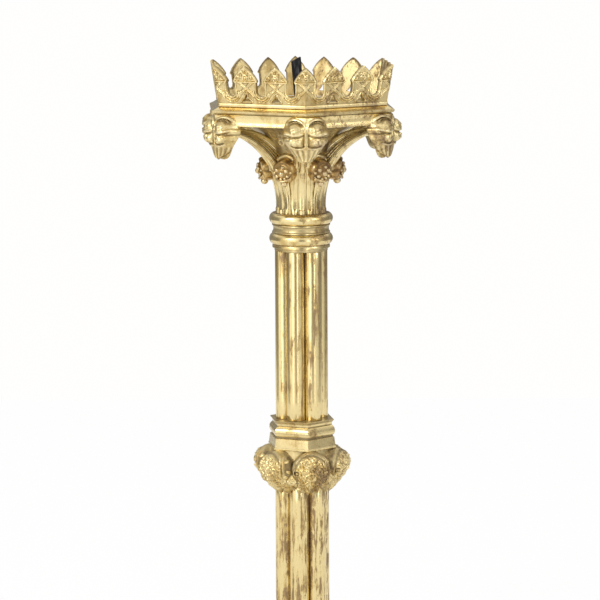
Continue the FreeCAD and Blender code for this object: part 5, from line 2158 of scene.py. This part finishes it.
@dataclass
class Studio:
    """A plain pale floor, a soft studio round it, and the camera."""

    lamps: tuple[SoftBox, ...] = (
        SoftBox("left_box", (-1.5, -1.6, 1.5), 0.8, 18.0),
        SoftBox("right_box", (1.7, -1.2, 1.1), 0.7, 6.0),
    )
    lamp_aim: Place = (0.0, 0.0, 0.35)
    floor_reach: float = 1.3
    floor_level: float = -0.0005
    floor_white: float = 0.9
    dim_light: float = 0.3
    left_light: float = 0.95
    right_light: float = 0.42
    top_light: float = 0.7
    left_window: float = 1.8
    right_window: float = 2.4
    camera_place: Place = (0.0, -2.314, 0.676)
    camera_fall: float = 8.5
    camera_roll: float = -0.27
    camera_turn: float = 0.030
    lens: float = 162.0

    def camera(self) -> None:
        """Sets up the camera."""
        lens = bpy.data.cameras.new("camera")
        lens.lens = self.lens
        lens.clip_end = 50.0
        holder = in_scene("camera", lens)
        turn = Matrix.Rotation(math.radians(self.camera_turn), 4, "Z")
        fall = Matrix.Rotation(math.radians(90.0 - self.camera_fall), 4, "X")
        roll = Matrix.Rotation(math.radians(self.camera_roll), 4, "Z")
        holder.matrix_world = Matrix.Translation(self.camera_place) @ turn @ fall @ roll
        bpy.context.scene.camera = holder

    def floor(self) -> None:
        """Lays the pale floor, white to the camera and keeping the shadow."""
        mesh = bpy.data.meshes.new("floor")
        signs = ((-1, -1), (1, -1), (1, 1), (-1, 1))
        corners = [(x * self.floor_reach, y * self.floor_reach, self.floor_level) for x, y in signs]
        mesh.from_pydata(corners, [], [(0, 1, 2, 3)])
        floor = in_scene("floor", mesh)
        material, kit = blank_material("pale_floor")
        diffuse = kit.add("ShaderNodeBsdfDiffuse", {}, {"Color": (0.9, 0.9, 0.9, 1.0)})
        glow = kit.add("ShaderNodeEmission", {}, {"Color": WHITE, "Strength": 1.0})
        path = kit.add("ShaderNodeLightPath", {}, {})
        seen = kit.signal(path, "Is Camera Ray").most(kit.signal(path, "Is Transmission Ray"))
        sockets = {0: seen * self.floor_white, 1: diffuse.outputs[0], 2: glow.outputs[0]}
        shader = kit.add("ShaderNodeMixShader", {}, sockets)
        kit.add("ShaderNodeOutputMaterial", {}, {"Surface": shader.outputs[0]})
        mesh.materials.append(material)

    def surroundings(self) -> None:
        """Builds the world: white to the camera, soft boxes and a dark front to the metal."""
        world = bpy.data.worlds.new("studio")
        bpy.context.scene.world = world
        world.use_nodes = True
        kit = Palette(world.node_tree)
        place = kit.add("ShaderNodeTexCoord", {}, {}).outputs["Generated"]
        axes = kit.add("ShaderNodeSeparateXYZ", {}, {"Vector": place})
        x, y, z = (kit.signal(axes, index) for index in range(3))
        level = (x * x + y * y + 0.0004).power(0.5)
        side = x / level
        front = 0.0 - y / level
        level_band = z.step(-0.62, -0.25) * z.step(0.8, 0.45)
        left_box = side.step(-0.09, -0.22) * front.step(0.02, 0.35) * level_band
        right_box = side.step(0.09, 0.22) * front.step(0.0, 0.3) * level_band
        above = z.step(0.3, 0.75)
        tall = z.step(-0.55, -0.3) * z.step(0.5, 0.3) * front.step(0.3, 0.6)
        left_window = abs(side + 0.5).step(0.10, 0.04) * self.left_window
        windows = left_window + abs(side - 0.44).step(0.07, 0.03) * self.right_window
        boxes = self.dim_light + left_box * self.left_light + right_box * self.right_light
        light = boxes + above * self.top_light + windows * tall
        path = kit.add("ShaderNodeLightPath", {}, {})
        seen = kit.signal(path, "Is Camera Ray").most(kit.signal(path, "Is Transmission Ray"))
        seen = seen.most(kit.signal(path, "Is Glossy Ray") * above)
        strength = light * (1.0 - seen) + seen
        sky = kit.add(
            "ShaderNodeBackground", {}, {"Color": (1.0, 0.995, 0.985, 1.0), "Strength": strength}
        )
        kit.add("ShaderNodeOutputWorld", {}, {"Surface": sky.outputs[0]})

    def hang(self, box: SoftBox) -> None:
        """Hangs one lamp.

        Args:
            box: the lamp.
        """
        light = bpy.data.lights.new(box.name, "AREA")
        light.energy = box.power
        light.size = box.size
        holder = in_scene(box.name, light)
        aim = (Vector(self.lamp_aim) - Vector(box.place)).to_track_quat("-Z", "Y")
        holder.matrix_world = Matrix.Translation(box.place) @ aim.to_matrix().to_4x4()

    def build(self) -> None:
        """Builds the studio."""
        bpy.context.scene.view_settings.view_transform = "Standard"
        self.camera()
        self.floor()
        self.surroundings()
        for box in self.lamps:
            self.hang(box)


def main() -> None:
    """Builds the studio and dresses the standard from its foot up."""
    logging.basicConfig(level=logging.INFO, format="%(name)s: %(message)s")
    Studio().build()
    shop = Workshop()
    shop.refinish("pole_socket", Slot.CAST, edge=0.5)
    lower_shaft = ClusteredShaft(
        "lower_shaft",
        Body.STEM,
        foot=36.0,
        length=134.0,
        bearing=-10.0,
        ring=15.9,
        radius=8.5,
        bore=14.4,
    )
    upper_shaft = ClusteredShaft(
        "upper_shaft",
        Body.KNOP,
        foot=227.0,
        length=147.3,
        bearing=-20.0,
        ring=14.9,
        radius=8.0,
        bore=12.9,
    )
    stack = (lower_shaft, Knop(), upper_shaft, Collar(), Capital(), BallFlower())
    crown = (Abacus(), Crocket(), DripPan(), Cresting())
    for assembly in stack + crown:
        assembly.build(shop)
    shop.refinish("pricket_spike", Slot.IRON, edge=0.3)
    for node in ("pricket_socket", "tie_rod", "rod_nut", "rod_washer"):
        shop.refinish(node, Slot.IRON)
    for node in ("lower_shaft_plug", "upper_shaft_plug", "knop_sleeve"):
        shop.refinish(node, Slot.CAST)


if __name__ == "__main__":
    main()
